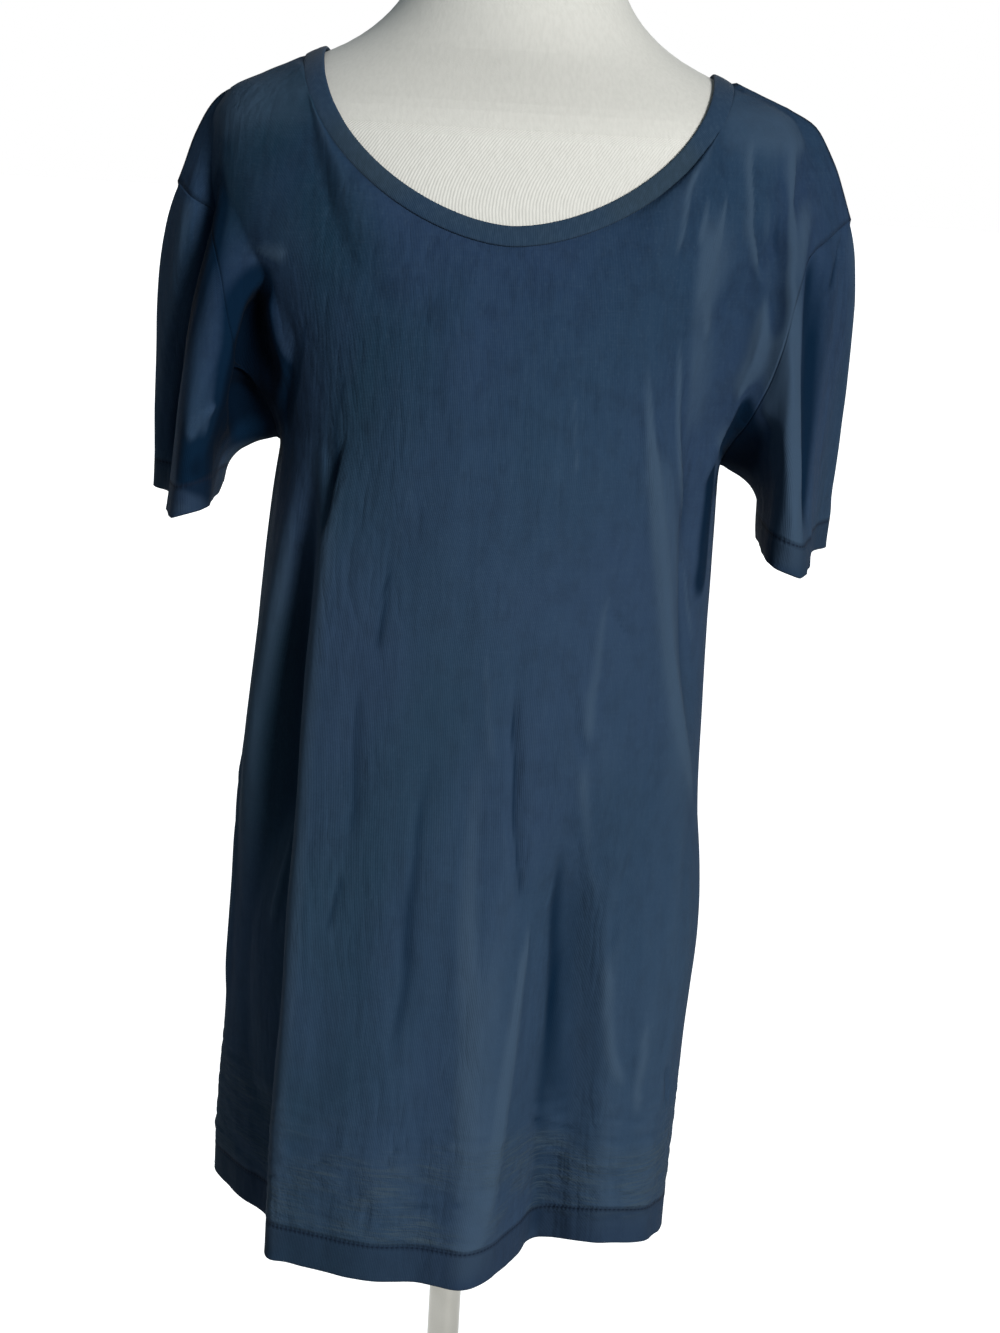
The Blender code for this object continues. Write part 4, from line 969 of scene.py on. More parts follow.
def add_creases(pieces):
    """Puts every crease of the table on whichever pieces it reaches, so that it runs on over a seam."""
    creases = [dict(zip(CREASES["columns"], row)) for row in CREASES["rows"]]
    shades = [dict(zip(SHADES["columns"], row)) for row in SHADES["rows"]]
    for crease in creases + shades:
        path = bent(crease["top"], crease["foot"], crease["bow"])
        crease["line"], crease["ways"] = path_on_cloth(crease["seen"], path, pieces)
    for piece in pieces:
        points = piece.points.reshape(-1, 3)
        normals = piece.normals.reshape(-1, 3)
        height = np.zeros(len(points))
        marks = np.zeros(len(points))
        for crease in creases:
            line = crease["line"]
            reach = CREASE_REACH * max(crease["before"], crease["after"])
            near = np.all((points > line.min(axis=0) - reach) & (points < line.max(axis=0) + reach), axis=1)
            near &= normals @ unit(crease["ways"].mean(axis=0)) > -0.2
            if near.any():
                deep = abs(crease["height"]) > DEEP_CREASE
                spread = 1.0 if deep else CREASE_SPREAD
                widths = (crease["before"] * spread, crease["after"] * spread)
                shape = (crease["sharp"], crease["opens"])
                rise = crease["height"] * (1.0 if deep else CREASE_STRENGTH)
                share = crease_height(points[near], normals[near], line, *widths, *shape)
                height[near] += rise * share
                # painted shading along each crease: shade in a trough, a highlight on a ridge
                full = TROUGH_FOR_FULL_SHADE if rise < 0 else RIDGE_FOR_FULL_HIGHLIGHT
                marks[near] -= np.clip(rise / full, -1, 1) * share**1.5
        # and the painted shade and highlights of the table of shades
        marks += shades_on(points, normals, shades)
        piece.points = (points + normals * height[:, None]).reshape(piece.points.shape)
        piece.marks = marks.reshape(piece.points.shape[:2])


def ripple(points, across, along, seed):
    """Smooth unevenness between -1 and 1 at each point, from its place in space."""
    places = points / np.array((across, across, along)) + np.array((0, 0, seed))
    return np.array([noise.noise(Vector(spot)) for spot in places])


def add_ripples(pieces):
    """Gives the whole cloth the small unevenness of much-used jersey, and crinkles it over the hem."""
    for piece in pieces:
        points = piece.points.reshape(-1, 3)
        height = np.zeros(len(points))
        for seed, (across, along, rise) in enumerate(RIPPLES):
            height += rise * ripple(points, across, along, 3.7 * seed)
        drop = SHOULDER_HEIGHT - points[:, 2]
        starts = eased((drop - FORM_EDGE_DROP + CRINKLE_START[0]) / CRINKLE_START[1])
        stops = eased((HEM_DROP - CRINKLE_STOP[0] - drop) / CRINKLE_STOP[1])
        crinkle = ripple(points, *CRINKLE_SIZE, 21.0)
        crinkle = crinkle + CRINKLE_FINE_SHARE * ripple(points, *CRINKLE_FINE, 25.0)
        height += CRINKLE_HEIGHT * (starts * stops) * crinkle
        piece.points = (points + piece.normals.reshape(-1, 3) * height[:, None]).reshape(piece.points.shape)


def share_seams(garment):
    """Brings the pieces that are sewn together onto one line, with the same way out along it."""
    front, back = garment["front"], garment["back"]
    body = slice(0, HEM_ROWS + UPPER_ROWS + 1)
    for side, column, name in ((-1, 0, "sleeve_right"), (1, -1, "sleeve_left")):
        seam = slice(0, SHOULDER_COLUMNS + 1) if side < 0 else slice(-SHOULDER_COLUMNS - 1, None)
        sleeve = garment[name]
        ahead = np.s_[: HEM_ROWS + UPPER_ROWS - 1 : -1, column]
        behind = np.s_[HEM_ROWS + UPPER_ROWS + 1 : -1, column]
        pairs = [
            ((front, np.s_[body, column]), (back, np.s_[body, column])),
            ((front, np.s_[-1, seam]), (back, np.s_[-1, seam])),
            ((front, ahead), (sleeve, np.s_[-1, : YOKE_ROWS + 1])),
            ((back, behind), (sleeve, np.s_[-1, YOKE_ROWS + 1 :])),
        ]
        for (one, here), (other, there) in pairs:
            middle = (one.points[here] + other.points[there]) / 2
            one.points[here] = middle
            other.points[there] = middle
            way = unit(one.normals[here] + other.normals[there])
            one.normals[here] = way
            other.normals[there] = way


# ---------------------------------------------------------------- cut pieces with seams and hems


def seated(cloth, neckline):
    """Brings a panel's top rows down to its neckline, so that they end in a clean line under the binding."""
    points = cloth.points
    columns = np.arange(points.shape[1])
    past_tip = np.minimum(columns, columns[::-1]) / NECK_SEAT_COLUMNS
    shift = (neckline - points[-1]) * eased(past_tip - (SHOULDER_COLUMNS / NECK_SEAT_COLUMNS - 1))[:, None]
    for row in range(NECK_SEAT_ROWS):
        points[-1 - row] += shift * eased(1 - row / NECK_SEAT_ROWS)


def neckline_of(cloth, back):
    """A panel's top row, with its neck part set close to the form."""
    neckline = cloth.points[-1].copy()
    neck = slice(SHOULDER_COLUMNS, -SHOULDER_COLUMNS)
    lowest = NECK_DROP_BACK if back else NECK_DROP_FRONT
    count = cloth.points.shape[1] - 2 * SHOULDER_COLUMNS - 1
    neckline[neck] = neck_edge(NECK_HALF_WIDTH, lowest, back, count, NECK_SEAT) + (GARMENT_SHIFT, 0, 0)
    return neckline


def sewn_garment():
    """The front, back and sleeves of the shirt, creased and rippled, sharing their seam lines."""
    shift = np.array((GARMENT_SHIFT, 0, 0))
    rings = [body_ring(drop) for drop in body_drops()]
    front = on_form(panel_points("front", rings) + shift)
    back = on_form(panel_points("back", rings) + shift)
    garment = {"front": Cloth(front, outward(front), False)}
    garment["back"] = Cloth(back, outward(back), False)
    top = HEM_ROWS + UPPER_ROWS
    for name, side, column in (("right", -1, 0), ("left", 1, -1)):
        armhole = np.concatenate([front[: top - 1 : -1, column], back[top + 1 : -1, column]])
        sleeve = sleeve_points(name, side, armhole - shift) + shift
        sleeve[:-1] = on_form(sleeve[:-1])
        sleeve[-1] = armhole
        garment[f"sleeve_{name}"] = Cloth(sleeve, ring_outward(sleeve, side), True)
    pieces = list(garment.values())
    share_seams(garment)
    for piece in pieces:
        piece.points = on_form(relaxed(piece.points, CLOTH_SMOOTHING, piece.ring))
        piece.renew_normals()
    share_seams(garment)
    add_creases(pieces)
    for piece in pieces:
        piece.points = on_form(piece.points)
        piece.renew_normals()
    share_seams(garment)
    add_ripples(pieces)
    for piece in pieces:
        piece.points = on_form(piece.points)
    for name in ("front", "back"):
        seated(garment[name], neckline_of(garment[name], name == "back"))
    for piece in pieces:
        piece.renew_normals()
    share_seams(garment)
    return garment


def turned_edge(points, normals, inward):
    """Two more rows past an edge, which turn the seam allowance down inside."""
    normals, inward = (unit(averaged(ways, EDGE_AVERAGING)) for ways in (normals, inward))
    first = points - normals * SEAM_TURN * 0.5 + inward * SEAM_TURN * SEAM_TURN_IN[0]
    second = points - normals * SEAM_TURN + inward * SEAM_TURN * SEAM_TURN_IN[1]
    return first, second


def with_hem(cloth, depth):
    """The piece's rows with its hem turned up inside, from the raw edge down and round to the outer face."""
    rise = cloth.flat[:, cloth.flat.shape[1] // 2, 1]
    count = int(np.searchsorted(rise, depth))
    inside = cloth.points[count:0:-1] - cloth.normals[count:0:-1] * HEM_FOLD
    turn = cloth.points[0] - cloth.normals[0] * HEM_FOLD * 0.5 - np.array((0, 0, HEM_FOLD * 0.35))
    points = np.concatenate([inside, turn[None], cloth.points])
    flat = np.concatenate([cloth.flat[count:0:-1] * (1, -1), cloth.flat[:1] * (1, 0), cloth.flat])
    return points, flat


def seam_distance(cloth):
    """How far each point is from the nearest seam, along the cloth, in metres."""
    flat = cloth.flat
    to_top = flat[-1:, :, 1] - flat[:, :, 1]
    if cloth.ring:
        return to_top
    to_side = np.minimum(flat[:, :, 0] - flat[:, :1, 0], flat[:, -1:, 0] - flat[:, :, 0])
    return np.minimum(to_side, to_top)


def fold_depth(cloth):
    """How far each point lies in a hollow (over 0) or on a crest (under 0) of its own stretch of cloth, with
    painted shading added.
    """
    depth = np.zeros(cloth.points.shape[:2])
    for rounds, full, weight in FOLD_SCALES:
        level = relaxed(cloth.points, rounds, cloth.ring)
        depth += weight * np.tanh(np.einsum("ijk,ijk->ij", level - cloth.points, cloth.normals) / full)
    return relaxed(depth[..., None], 2, cloth.ring)[..., 0] + cloth.marks


def bordered(values, shape, extra):
    """Values of a piece's outer face carried on over its hem and its turned edges."""
    values = np.concatenate([values[extra:0:-1], values])
    down, across = shape[0] - len(values), (shape[1] - values.shape[1]) // 2
    return np.pad(values, ((0, down), (across, across)), mode="edge")


def panel_grid(cloth):
    """A piece with its hem, its seams pressed down and its sewn edges turned in."""
    pressed = SEAM_PRESS * np.exp(-((seam_distance(cloth) / SEAM_WIDTH) ** 2))
    cloth.points = cloth.points - cloth.normals * pressed[..., None]
    points, flat = with_hem(cloth, SLEEVE_HEM_DEPTH if cloth.ring else BODY_HEM)
    extra = len(points) - len(cloth.points)
    normals = np.concatenate([np.repeat(cloth.normals[:1], extra, axis=0), cloth.normals])
    first, second = turned_edge(points[-1], normals[-1], unit(points[-2] - points[-1]))
    if not cloth.ring:
        neck = slice(SHOULDER_COLUMNS, -SHOULDER_COLUMNS)
        edge = points[-1][neck]
        _, out = outside_form(edge)
        onward = unit(np.cross(out, np.gradient(edge, axis=0)))
        if np.einsum("ij,ij->i", onward, edge - points[-3][neck]).sum() < 0:
            onward = -onward
        first[neck] = edge - out * NECK_TUCK * NECK_TUCK_DOWN[0] + onward * NECK_TUCK * NECK_TUCK_ON
        second[neck] = edge - out * NECK_TUCK * NECK_TUCK_DOWN[1] + onward * NECK_TUCK
    points = np.concatenate([points, first[None], second[None]])
    flat = np.concatenate([flat, flat[-1:] + (0, SEAM_TURN * 0.6), flat[-1:] + (0, SEAM_TURN)])
    if cloth.ring:
        return points, flat
    normals = np.concatenate([normals, normals[-1:], normals[-1:]])
    for start in (True, False):
        edge, beside = (0, 1) if start else (-1, -2)
        inward = unit(points[:, beside] - points[:, edge])
        folded_in = turned_edge(points[:, edge], normals[:, edge], inward)
        side = -1 if start else 1
        flats = [flat[:, edge] + (side * SEAM_TURN * share, 0) for share in (0.6, 1.0)]
        more = np.stack(folded_in[::-1] if start else folded_in, axis=1)
        more_flat = np.stack(flats[::-1] if start else flats, axis=1)
        points = np.concatenate([more, points] if start else [points, more], axis=1)
        flat = np.concatenate([more_flat, flat] if start else [flat, more_flat], axis=1)
    return points, flat


def sheet_mesh(name, points, flat, close_across=False, depth=None):
    """A mesh through a grid of points, with the flat cloth's own places, in metres, as its UV map."""
    rows, columns = points.shape[:2]
    build = bmesh.new()
    corners = [[build.verts.new(spot) for spot in row] for row in points]
    places = build.loops.layers.uv.new("flat")
    for i in range(rows - 1):
        for j in range(columns if close_across else columns - 1):
            beside = (j + 1) % columns
            near, far = corners[i], corners[i + 1]
            face = build.faces.new((near[j], near[beside], far[beside], far[j]))
            face.smooth = True
            spots = (flat[i][j], flat[i][beside], flat[i + 1][beside], flat[i + 1][j])
            if close_across and beside == 0:
                last = 2 * flat[i][j] - flat[i][j - 1], 2 * flat[i + 1][j] - flat[i + 1][j - 1]
                spots = (flat[i][j], last[0], last[1], flat[i + 1][j])
            for loop, spot in zip(face.loops, spots):
                loop[places].uv = spot
    mesh = bpy.data.meshes.new(name)
    build.to_mesh(mesh)
    build.free()
    # The "fold" attribute holds the depth and painted shading by which the material paints shade and
    # highlights
    folds = mesh.attributes.new("fold", "FLOAT", "POINT")
    folds.data.foreach_set("value", np.zeros(rows * columns) if depth is None else depth.ravel())
    return mesh


def linked(name, mesh, material):
    piece = bpy.data.objects.new(name, mesh)
    bpy.context.scene.collection.objects.link(piece)
    mesh.materials.append(material)
    return piece


def alone(piece):
    """Makes one object the only one selected, and the active one."""
    bpy.ops.object.select_all(action="DESELECT")
    piece.select_set(True)
    bpy.context.view_layer.objects.active = piece


def thickened(piece, thickness):
    """Gives a sheet its thickness on its inner side."""
    solid = piece.modifiers.new("thickness", "SOLIDIFY")
    solid.thickness = thickness
    solid.offset = -1
    solid.use_even_offset = False
    alone(piece)
    bpy.ops.object.modifier_apply(modifier=solid.name)
    return piece


def faces_outward(piece, way):
    """Turns all the faces over when they look inward on the whole."""
    mesh = piece.data
    normals = np.empty(len(mesh.polygons) * 3)
    centres = np.empty(len(mesh.polygons) * 3)
    mesh.polygons.foreach_get("normal", normals)
    mesh.polygons.foreach_get("center", centres)
    if way(centres.reshape(-1, 3), normals.reshape(-1, 3)) < 0:
        mesh.flip_normals()


def make_shirt(material):
    """The shirt's four large pieces as thin sheets."""
    made = {}
    for name, cloth in sewn_garment().items():
        depth = fold_depth(cloth)
        points, flat = panel_grid(cloth)
        depth = bordered(depth, points.shape, len(points) - len(cloth.points) - 2)
        piece = linked(f"{name}_jersey", sheet_mesh(name, points, flat, cloth.ring, depth), material)
        middle = cloth.points.mean(axis=(0, 1)) if cloth.ring else np.zeros(3)

        def outwardness(centres, normals, middle=middle):
            away = centres - middle
            return np.einsum("ij,ij->i", away[:, :2], normals[:, :2]).sum()

        faces_outward(piece, outwardness)
        made[name] = thickened(piece, CLOTH)
    return made


# ---------------------------------------------------------------- neck binding


def make_binding(material):
    """The binding: one strip folded lengthwise round the neck's edge, its fold towards the neck."""
    loops = []
    share = BAND_COLUMNS // 2
    for narrower, less in ((-BAND_OVERLAP, -BAND_OVERLAP), (BAND_WIDTH, BAND_WIDTH - BAND_TAPER)):
        width = NECK_HALF_WIDTH - narrower
        ahead = neck_edge(width, NECK_DROP_FRONT - less, False, share, BAND_OFF_FORM)
        behind = neck_edge(width, NECK_DROP_BACK - less, True, share, BAND_OFF_FORM)
        for edge in (ahead, behind):
            edge[:, 0] += GARMENT_SHIFT
        for end in (0, -1):
            ahead[end] = (ahead[end] + behind[end]) / 2
        loops.append(clear_of_form(np.concatenate([ahead, behind[-2:0:-1]]), BAND_OFF_FORM))
    seam, fold = loops
    _, out = outside_form((seam + fold) / 2)
    spans = spans_through(np.array(BINDING_SECTION["rows"], float), closed=False)
    section = evenly(joined(spans), BAND_STEPS)
    along = np.linalg.norm(np.roll(seam, -1, axis=0) - seam, axis=1)
    along = np.concatenate([[0], np.cumsum(along)])[:-1]
    wave = np.array([noise.noise(Vector((x * BAND_WAVES_A_METRE, 4.0, 0.0))) for x in along]) * BAND_WAVE
    points, flat = [], []
    run = 0.0
    for i, (across, height) in enumerate(section):
        lift = BAND_DEPTH * height + wave * (across > 0.5) * height
        row = seam + (fold - seam) * across + out * lift[:, None]
        if i:
            run += np.linalg.norm(row - points[-1], axis=1).mean()
        points.append(row)
        flat.append(np.stack([along, np.full(len(along), run)], axis=1))
    mesh = sheet_mesh("neck_binding", np.array(points), np.array(flat), True)
    binding = linked("neck_binding", mesh, material)

    def outwardness(centres, normals):
        off, way = outside_form(centres)
        outer_leg = off > BAND_OFF_FORM + BAND_DEPTH * 0.6
        return np.einsum("ij,ij->i", way[outer_leg], normals[outer_leg]).sum()

    faces_outward(binding, outwardness)
    return thickened(binding, BAND_CLOTH)


# ---------------------------------------------------------------- form and stand


def make_form(material):
    """The form's torso, closed and rounded at its neck and at its lower edge."""
    top, bottom = FORM_SECTIONS["rows"][0][0], FORM_SECTIONS["rows"][-1][0]
    drops = np.linspace(bottom, top, FORM_ROWS + 1)
    turn = np.linspace(0, 2 * pi, FORM_COLUMNS_ROUND, endpoint=False)
    turned = []
    lower = [(bottom + FORM_ROUND * sin(a), 1 - FORM_ROUND_SHARE * (1 - cos(a))) for a in FORM_TURNS[::-1]]
    upper = [(top - FORM_ROUND * sin(a), 1 - FORM_ROUND_SHARE * (1 - cos(a))) for a in FORM_TURNS]
    for drop, share in [*lower, *((drop, 1.0) for drop in drops), *upper]:
        power = at_drop(FORM_SECTIONS, "power", drop)
        half_width = at_drop(FORM_SECTIONS, "half_width", drop)
        x = half_width * np.sign(np.cos(turn)) * np.abs(np.cos(turn)) ** (2 / power)
        y = form_depth(np.sin(turn), drop) * np.sign(np.sin(turn)) * np.abs(np.sin(turn)) ** (2 / power)
        turned.append(place(x * share, y * share, drop))
    points = np.array(turned)
    round_way = np.linalg.norm(np.roll(points, -1, axis=1) - points, axis=2)
    along = np.concatenate([np.zeros((len(points), 1)), np.cumsum(round_way, axis=1)[:, :-1]], axis=1)
    flat = np.stack([along, points[..., 2]], axis=-1)
    form = linked("form_cover", sheet_mesh("form_cover", points, flat, True), material)
    build = bmesh.new()
    build.from_mesh(form.data)
    bmesh.ops.holes_fill(build, edges=[edge for edge in build.edges if edge.is_boundary])
    bmesh.ops.recalc_face_normals(build, faces=build.faces)
    build.to_mesh(form.data)
    build.free()
    return form


def select_faces(piece, wanted):
    """Selects, in edit mode, just the faces for which the test of centre and normal holds."""
    bpy.ops.mesh.select_mode(type="FACE")
    bpy.ops.mesh.select_all(action="DESELECT")
    build = bmesh.from_edit_mesh(piece.data)
    for face in build.faces:
        if wanted(face.calc_center_median(), face.normal):
            face.select_set(True)
    bmesh.update_edit_mesh(piece.data)


def turned_metal(name, radius, bottom, top, sides=96):
    """A round metal blank, left in edit mode."""
    bpy.ops.object.select_all(action="DESELECT")
    bpy.ops.mesh.primitive_cylinder_add(
        vertices=sides, radius=radius, depth=top - bottom, location=(0, 0, (top + bottom) / 2)
    )
    piece = bpy.context.object
    piece.name = name
    bpy.ops.object.transform_apply(location=True, rotation=True, scale=True)
    bpy.ops.object.mode_set(mode="EDIT")
    return piece


def push(height):
    bpy.ops.mesh.extrude_region_move(TRANSFORM_OT_translate={"value": (0, 0, height)})


def edges_eased(piece, width, material):
    """Leaves edit mode and rounds the piece's sharp edges."""
    bpy.ops.object.mode_set(mode="OBJECT")
    bevel = piece.modifiers.new("eased edges", "BEVEL")
    bevel.width = width
    bevel.segments = 3
    bevel.limit_method = "ANGLE"
    bevel.angle_limit = radians(40)
    alone(piece)
    bpy.ops.object.modifier_apply(modifier=bevel.name)
    bpy.ops.object.shade_smooth_by_angle(angle=radians(40))
    piece.data.materials.clear()
    piece.data.materials.append(material)
    return piece


def make_pole(material):
    low, high = (corner[2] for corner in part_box("pole"))
    pole = turned_metal("steel_pole", POLE_RADIUS, low, high)
    return edges_eased(pole, POLE_EDGE, material)


def make_foot(material):
    """The foot: a disc with a raised hub, bored for the pole."""
    (_, _, bottom), (radius, _, hub_top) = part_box("foot")
    foot = turned_metal("steel_foot", radius, bottom, bottom + FOOT_THICKNESS, sides=160)
    select_faces(foot, lambda centre, normal: normal.z > 0.9)
    bpy.ops.mesh.inset(thickness=radius - HUB_RADIUS)
    push(hub_top - bottom - FOOT_THICKNESS)
    bpy.ops.mesh.inset(thickness=HUB_RADIUS - POLE_RADIUS - FIT_GAP)
    push(-HUB_HEIGHT + SOCKET_FLOOR)
    return edges_eased(foot, FOOT_EDGE, material)


def make_flange(material):
    """The plate under the form with the collar that holds the pole."""
    (_, _, low), (radius, _, high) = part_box("form_flange")
    plate_low = high - FLANGE_THICKNESS
    flange = turned_metal("steel_flange", radius, plate_low, high)
    select_faces(flange, lambda centre, normal: normal.z < -0.9)
    bpy.ops.mesh.inset(thickness=radius - COLLAR_RADIUS)
    push(low - plate_low)
    bpy.ops.mesh.inset(thickness=COLLAR_RADIUS - POLE_RADIUS - FIT_GAP)
    push(COLLAR_SOCKET)
    return edges_eased(flange, FLANGE_EDGE, material)


# ---------------------------------------------------------------- materials


class Wire:
    """A shader socket that takes part in sums: an operator on it adds a Math node."""

    def __init__(self, shader, socket):
        self.shader = shader
        self.socket = socket

    def math(self, operation, *others):
        values = dict(enumerate((self, *others)))
        return self.shader.node("ShaderNodeMath", {"operation": operation}, values)

    def reflected(self, operation, other):
        return self.shader.node("ShaderNodeMath", {"operation": operation}, {0: other, 1: self})

    def __add__(self, other):
        return self.math("ADD", other)

    def __sub__(self, other):
        return self.math("SUBTRACT", other)

    def __mul__(self, other):
        return self.math("MULTIPLY", other)

    def __truediv__(self, other):
        return self.math("DIVIDE", other)

    def __rsub__(self, other):
        return self.reflected("SUBTRACT", other)

    __radd__ = __add__
    __rmul__ = __mul__


class Shader:
    """A node material that is put together from Python expressions."""

    def __init__(self, name, **constants):
        self.material = bpy.data.materials.new(name)
        self.material.use_nodes = True
        self.tree = self.material.node_tree
        self.surface = next(node for node in self.tree.nodes if node.type == "BSDF_PRINCIPLED")
        for socket, value in constants.items():
            self.surface.inputs[socket.replace("_", " ")].default_value = value

    def node(self, kind, settings=None, values=None, output=0):
        made = self.tree.nodes.new(kind)
        for setting, value in (settings or {}).items():
            setattr(made, setting, value)
        for socket, value in (values or {}).items():
            if isinstance(value, Wire):
                self.tree.links.new(value.socket, made.inputs[socket])
            else:
                made.inputs[socket].default_value = value
        return Wire(self, made.outputs[output])

    def place(self, scale=(1, 1, 1), flat=False):
        """Object coordinates, or the flat cloth's own, stretched by a scale."""
        if flat:
            source = self.node("ShaderNodeUVMap", {"uv_map": "flat"})
        else:
            source = self.node("ShaderNodeTexCoord", output="Object")
        return self.node("ShaderNodeMapping", values={"Vector": source, "Scale": scale})

    def noise(self, where, detail=3.0, roughness=0.5):
        values = {"Vector": where, "Scale": 1.0, "Detail": detail, "Roughness": roughness}
        return self.node("ShaderNodeTexNoise", values=values)

    def axis(self, where, name):
        return self.node("ShaderNodeSeparateXYZ", values={"Vector": where}, output=name)

    def between(self, value, low, high):
        """0 where the value is under low, 1 over high, and smooth between."""
        settings = {"interpolation_type": "SMOOTHSTEP"}
        values = {"Value": value, "From Min": low, "From Max": high}
        return self.node("ShaderNodeMapRange", settings, values)

    def mix(self, factor, one, other):
        values = {"Factor": factor, 6: one, 7: other}
        return self.node("ShaderNodeMix", {"data_type": "RGBA"}, values, output=2)

    def bump(self, height, distance, strength=1.0, normal=None):
        values = {"Height": height, "Distance": distance, "Strength": strength}
        if normal:
            values["Normal"] = normal
        return self.node("ShaderNodeBump", values=values)

    def feed(self, **wires):
        for socket, wire in wires.items():
            self.tree.links.new(wire.socket, self.surface.inputs[socket.replace("_", " ")])


def colour(red, green, blue):
    return (red, green, blue, 1.0)


def line_at(shader, along, place, half_width):
    """1 on a line at the given place and 0 a half width away from it."""
    return 1 - shader.between((along - place).math("ABSOLUTE"), half_width * 0.4, half_width)


def navy(shader, side, height, streaks, slub):
    """Navy, painted a darker teal for shade at the wearer's right and paler for light lower down, with paler
    threads and darker specks.
    """
    broad = shader.noise(shader.place((9, 9, 5)), detail=2.0)
    speckle = shader.noise(shader.place((700, 700, 480)), detail=2.0)
    mottle = shader.noise(shader.place((95, 95, 60)), detail=4.0, roughness=0.65)
    # painted shade: the wearer's right side is painted a darker teal, where less light falls
    teal = shader.mix(shader.between(side + (broad - 0.5) * 0.16, 0.03, -0.13), NAVY, TEAL_SIDE_SHADE)
    tone = shader.mix(shader.between(broad, 0.35, 0.70), teal, INDIGO)
    tone = shader.mix(shader.between(streaks, 0.30, 0.80) * 0.16, tone, PALE_FIBRE_AND_LIGHT)
    tone = shader.mix(shader.between(speckle, 0.52, 0.80) * 0.26, tone, PALE_FIBRE_AND_LIGHT)
    tone = shader.mix(shader.between(slub, 0.50, 0.80) * 0.14, tone, PALE_FIBRE_AND_LIGHT)
    tone = shader.mix(shader.between(mottle, 0.42, 0.72) * 0.26, tone, THREAD_AND_SHADE)
    # painted light: the cloth is painted paler lower down, where more light falls
    painted_light_lower_down = shader.between(height + (broad - 0.5) * 0.10, PAINTED_LIGHT_FROM, PAINTED_LIGHT_FULL)
    return shader.mix(painted_light_lower_down * 0.30, tone, PALE_FIBRE_AND_LIGHT)


def shaded_in_folds(shader, tone):
    """Paints shade where the cloth lies deep and a highlight on its crests, by its "fold" attribute."""
    fold = shader.node("ShaderNodeAttribute", {"attribute_name": "fold"}, output="Fac")
    tone = shader.mix(shader.between(fold, 0.25, 1.7) * 0.92, tone, SHADED)
    tone = shader.mix(shader.between(fold, 2.4, 4.0) * 0.70, tone, DEEPEST_PAINTED_SHADE)
    return shader.mix(shader.between(fold * -1, 0.20, 1.3) * 0.68, tone, PAINTED_HIGHLIGHT)


def loose_cloth(shader, height):
    """Patches of the cloth that hangs free between the form's lower edge and the hem, painted greyer for
    light shining through it.
    """
    uneven = height + (shader.noise(shader.place((22, 22, 30))) - 0.5) * 0.05
    below_form = shader.between(uneven, LOOSE_TOP, LOOSE_LOW)
    above_hem = shader.between(height, HEM_TOP - 0.001, HEM_TOP + 0.004)
    patches = shader.between(shader.noise(shader.place((17, 17, 26)), detail=2.0), 0.36, 0.62)
    return below_form * above_hem * patches


def knit_relief(shader, across, up, streaks, loose):
    """The knit over small crushed folds, which are stronger where the cloth hangs free."""
    wales = (across * (2 * pi / WALE_PITCH)).math("SINE")
    courses = (up * (2 * pi / COURSE_PITCH)).math("SINE")
    knit = wales * 0.6 + courses * 0.25 + streaks * 0.6
    wrinkle = shader.noise(shader.place((60, 60, 160)), detail=4.0, roughness=0.6)
    upright = (shader.noise(shader.place((85, 85, 17)), detail=2.0) * 2 - 1).math("ABSOLUTE")
    slanted = (shader.noise(shader.place((45, 60, 26)), detail=2.0) * 2 - 1).math("ABSOLUTE")
    where = shader.between(shader.noise(shader.place((13, 13, 8)), detail=1.0), 0.40, 0.62)
    crushed = (upright + slanted * 0.7) * (where * 0.75 + 0.25)
    normal = shader.bump(crushed, 0.0021, 0.60)
    normal = shader.bump(wrinkle * (loose * 3.0 + 0.30), 0.0016, 0.6, normal)
    return shader.bump(knit, 0.00016, 0.6, normal)


def stitched_hem(shader, across, up, hem, tone, normal):
    """Adds a hem's row of stitches, painted shade in its groove, and the double cloth below it, painted
    darker as less light comes through.
    """
    stitches = (across * (2 * pi / STITCH_PITCH)).math("SINE")
    row = line_at(shader, up, hem - STITCH_LOW, STITCH_HALF_WIDTH)
    groove = line_at(shader, up, hem - STITCH_LOW, GROOVE_HALF_WIDTH)
    tone = shader.mix(row * (0.55 + stitches * 0.30), tone, THREAD_AND_SHADE)
    # painted shade in the groove and, below the stitches, on the band of double cloth
    tone = shader.mix(groove * 0.25, tone, THREAD_AND_SHADE)
    tone = shader.mix(shader.between(up, hem + 0.001, hem - 0.001) * 0.36, tone, THREAD_AND_SHADE)
    return tone, shader.bump(1 - groove * (0.8 + stitches * 0.2), 0.0007, 0.8, normal)


def jersey(name, hem):
    """Fine navy jersey with its knit, painted shade in its folds, painted highlights on its crests and its
    stitched hem.
    """
    shader = Shader(name, Sheen_Weight=0.005, Sheen_Roughness=0.5, Specular_IOR_Level=0.025)
    flat, body = shader.place(flat=True), shader.place()
    across, up = shader.axis(flat, "X"), shader.axis(flat, "Y")
    side, height = shader.axis(body, "X"), shader.axis(body, "Z")
    streaks = shader.noise(shader.place((420, 420, 36)), detail=3.0, roughness=0.6)
    slub = shader.noise(shader.place((40, 40, 900)), detail=2.0, roughness=0.6)
    loose = loose_cloth(shader, height)
    tone = shaded_in_folds(shader, navy(shader, side, height, streaks, slub))
    # painted light: the cloth that hangs free of the form is painted greyer in patches, where light shines
    # through it
    tone = shader.mix(loose * shader.between(slub, 0.42, 0.66) * 0.80, tone, LIGHT_THROUGH_CLOTH)
    tone = shader.mix(loose * 0.14, tone, LIGHT_THROUGH_CLOTH)
    normal = knit_relief(shader, across, up, streaks, loose)
    tone, normal = stitched_hem(shader, across, up, hem, tone, normal)
    shader.feed(Base_Color=tone, Roughness=0.80 + streaks * 0.15, Normal=normal)
    return shader.material


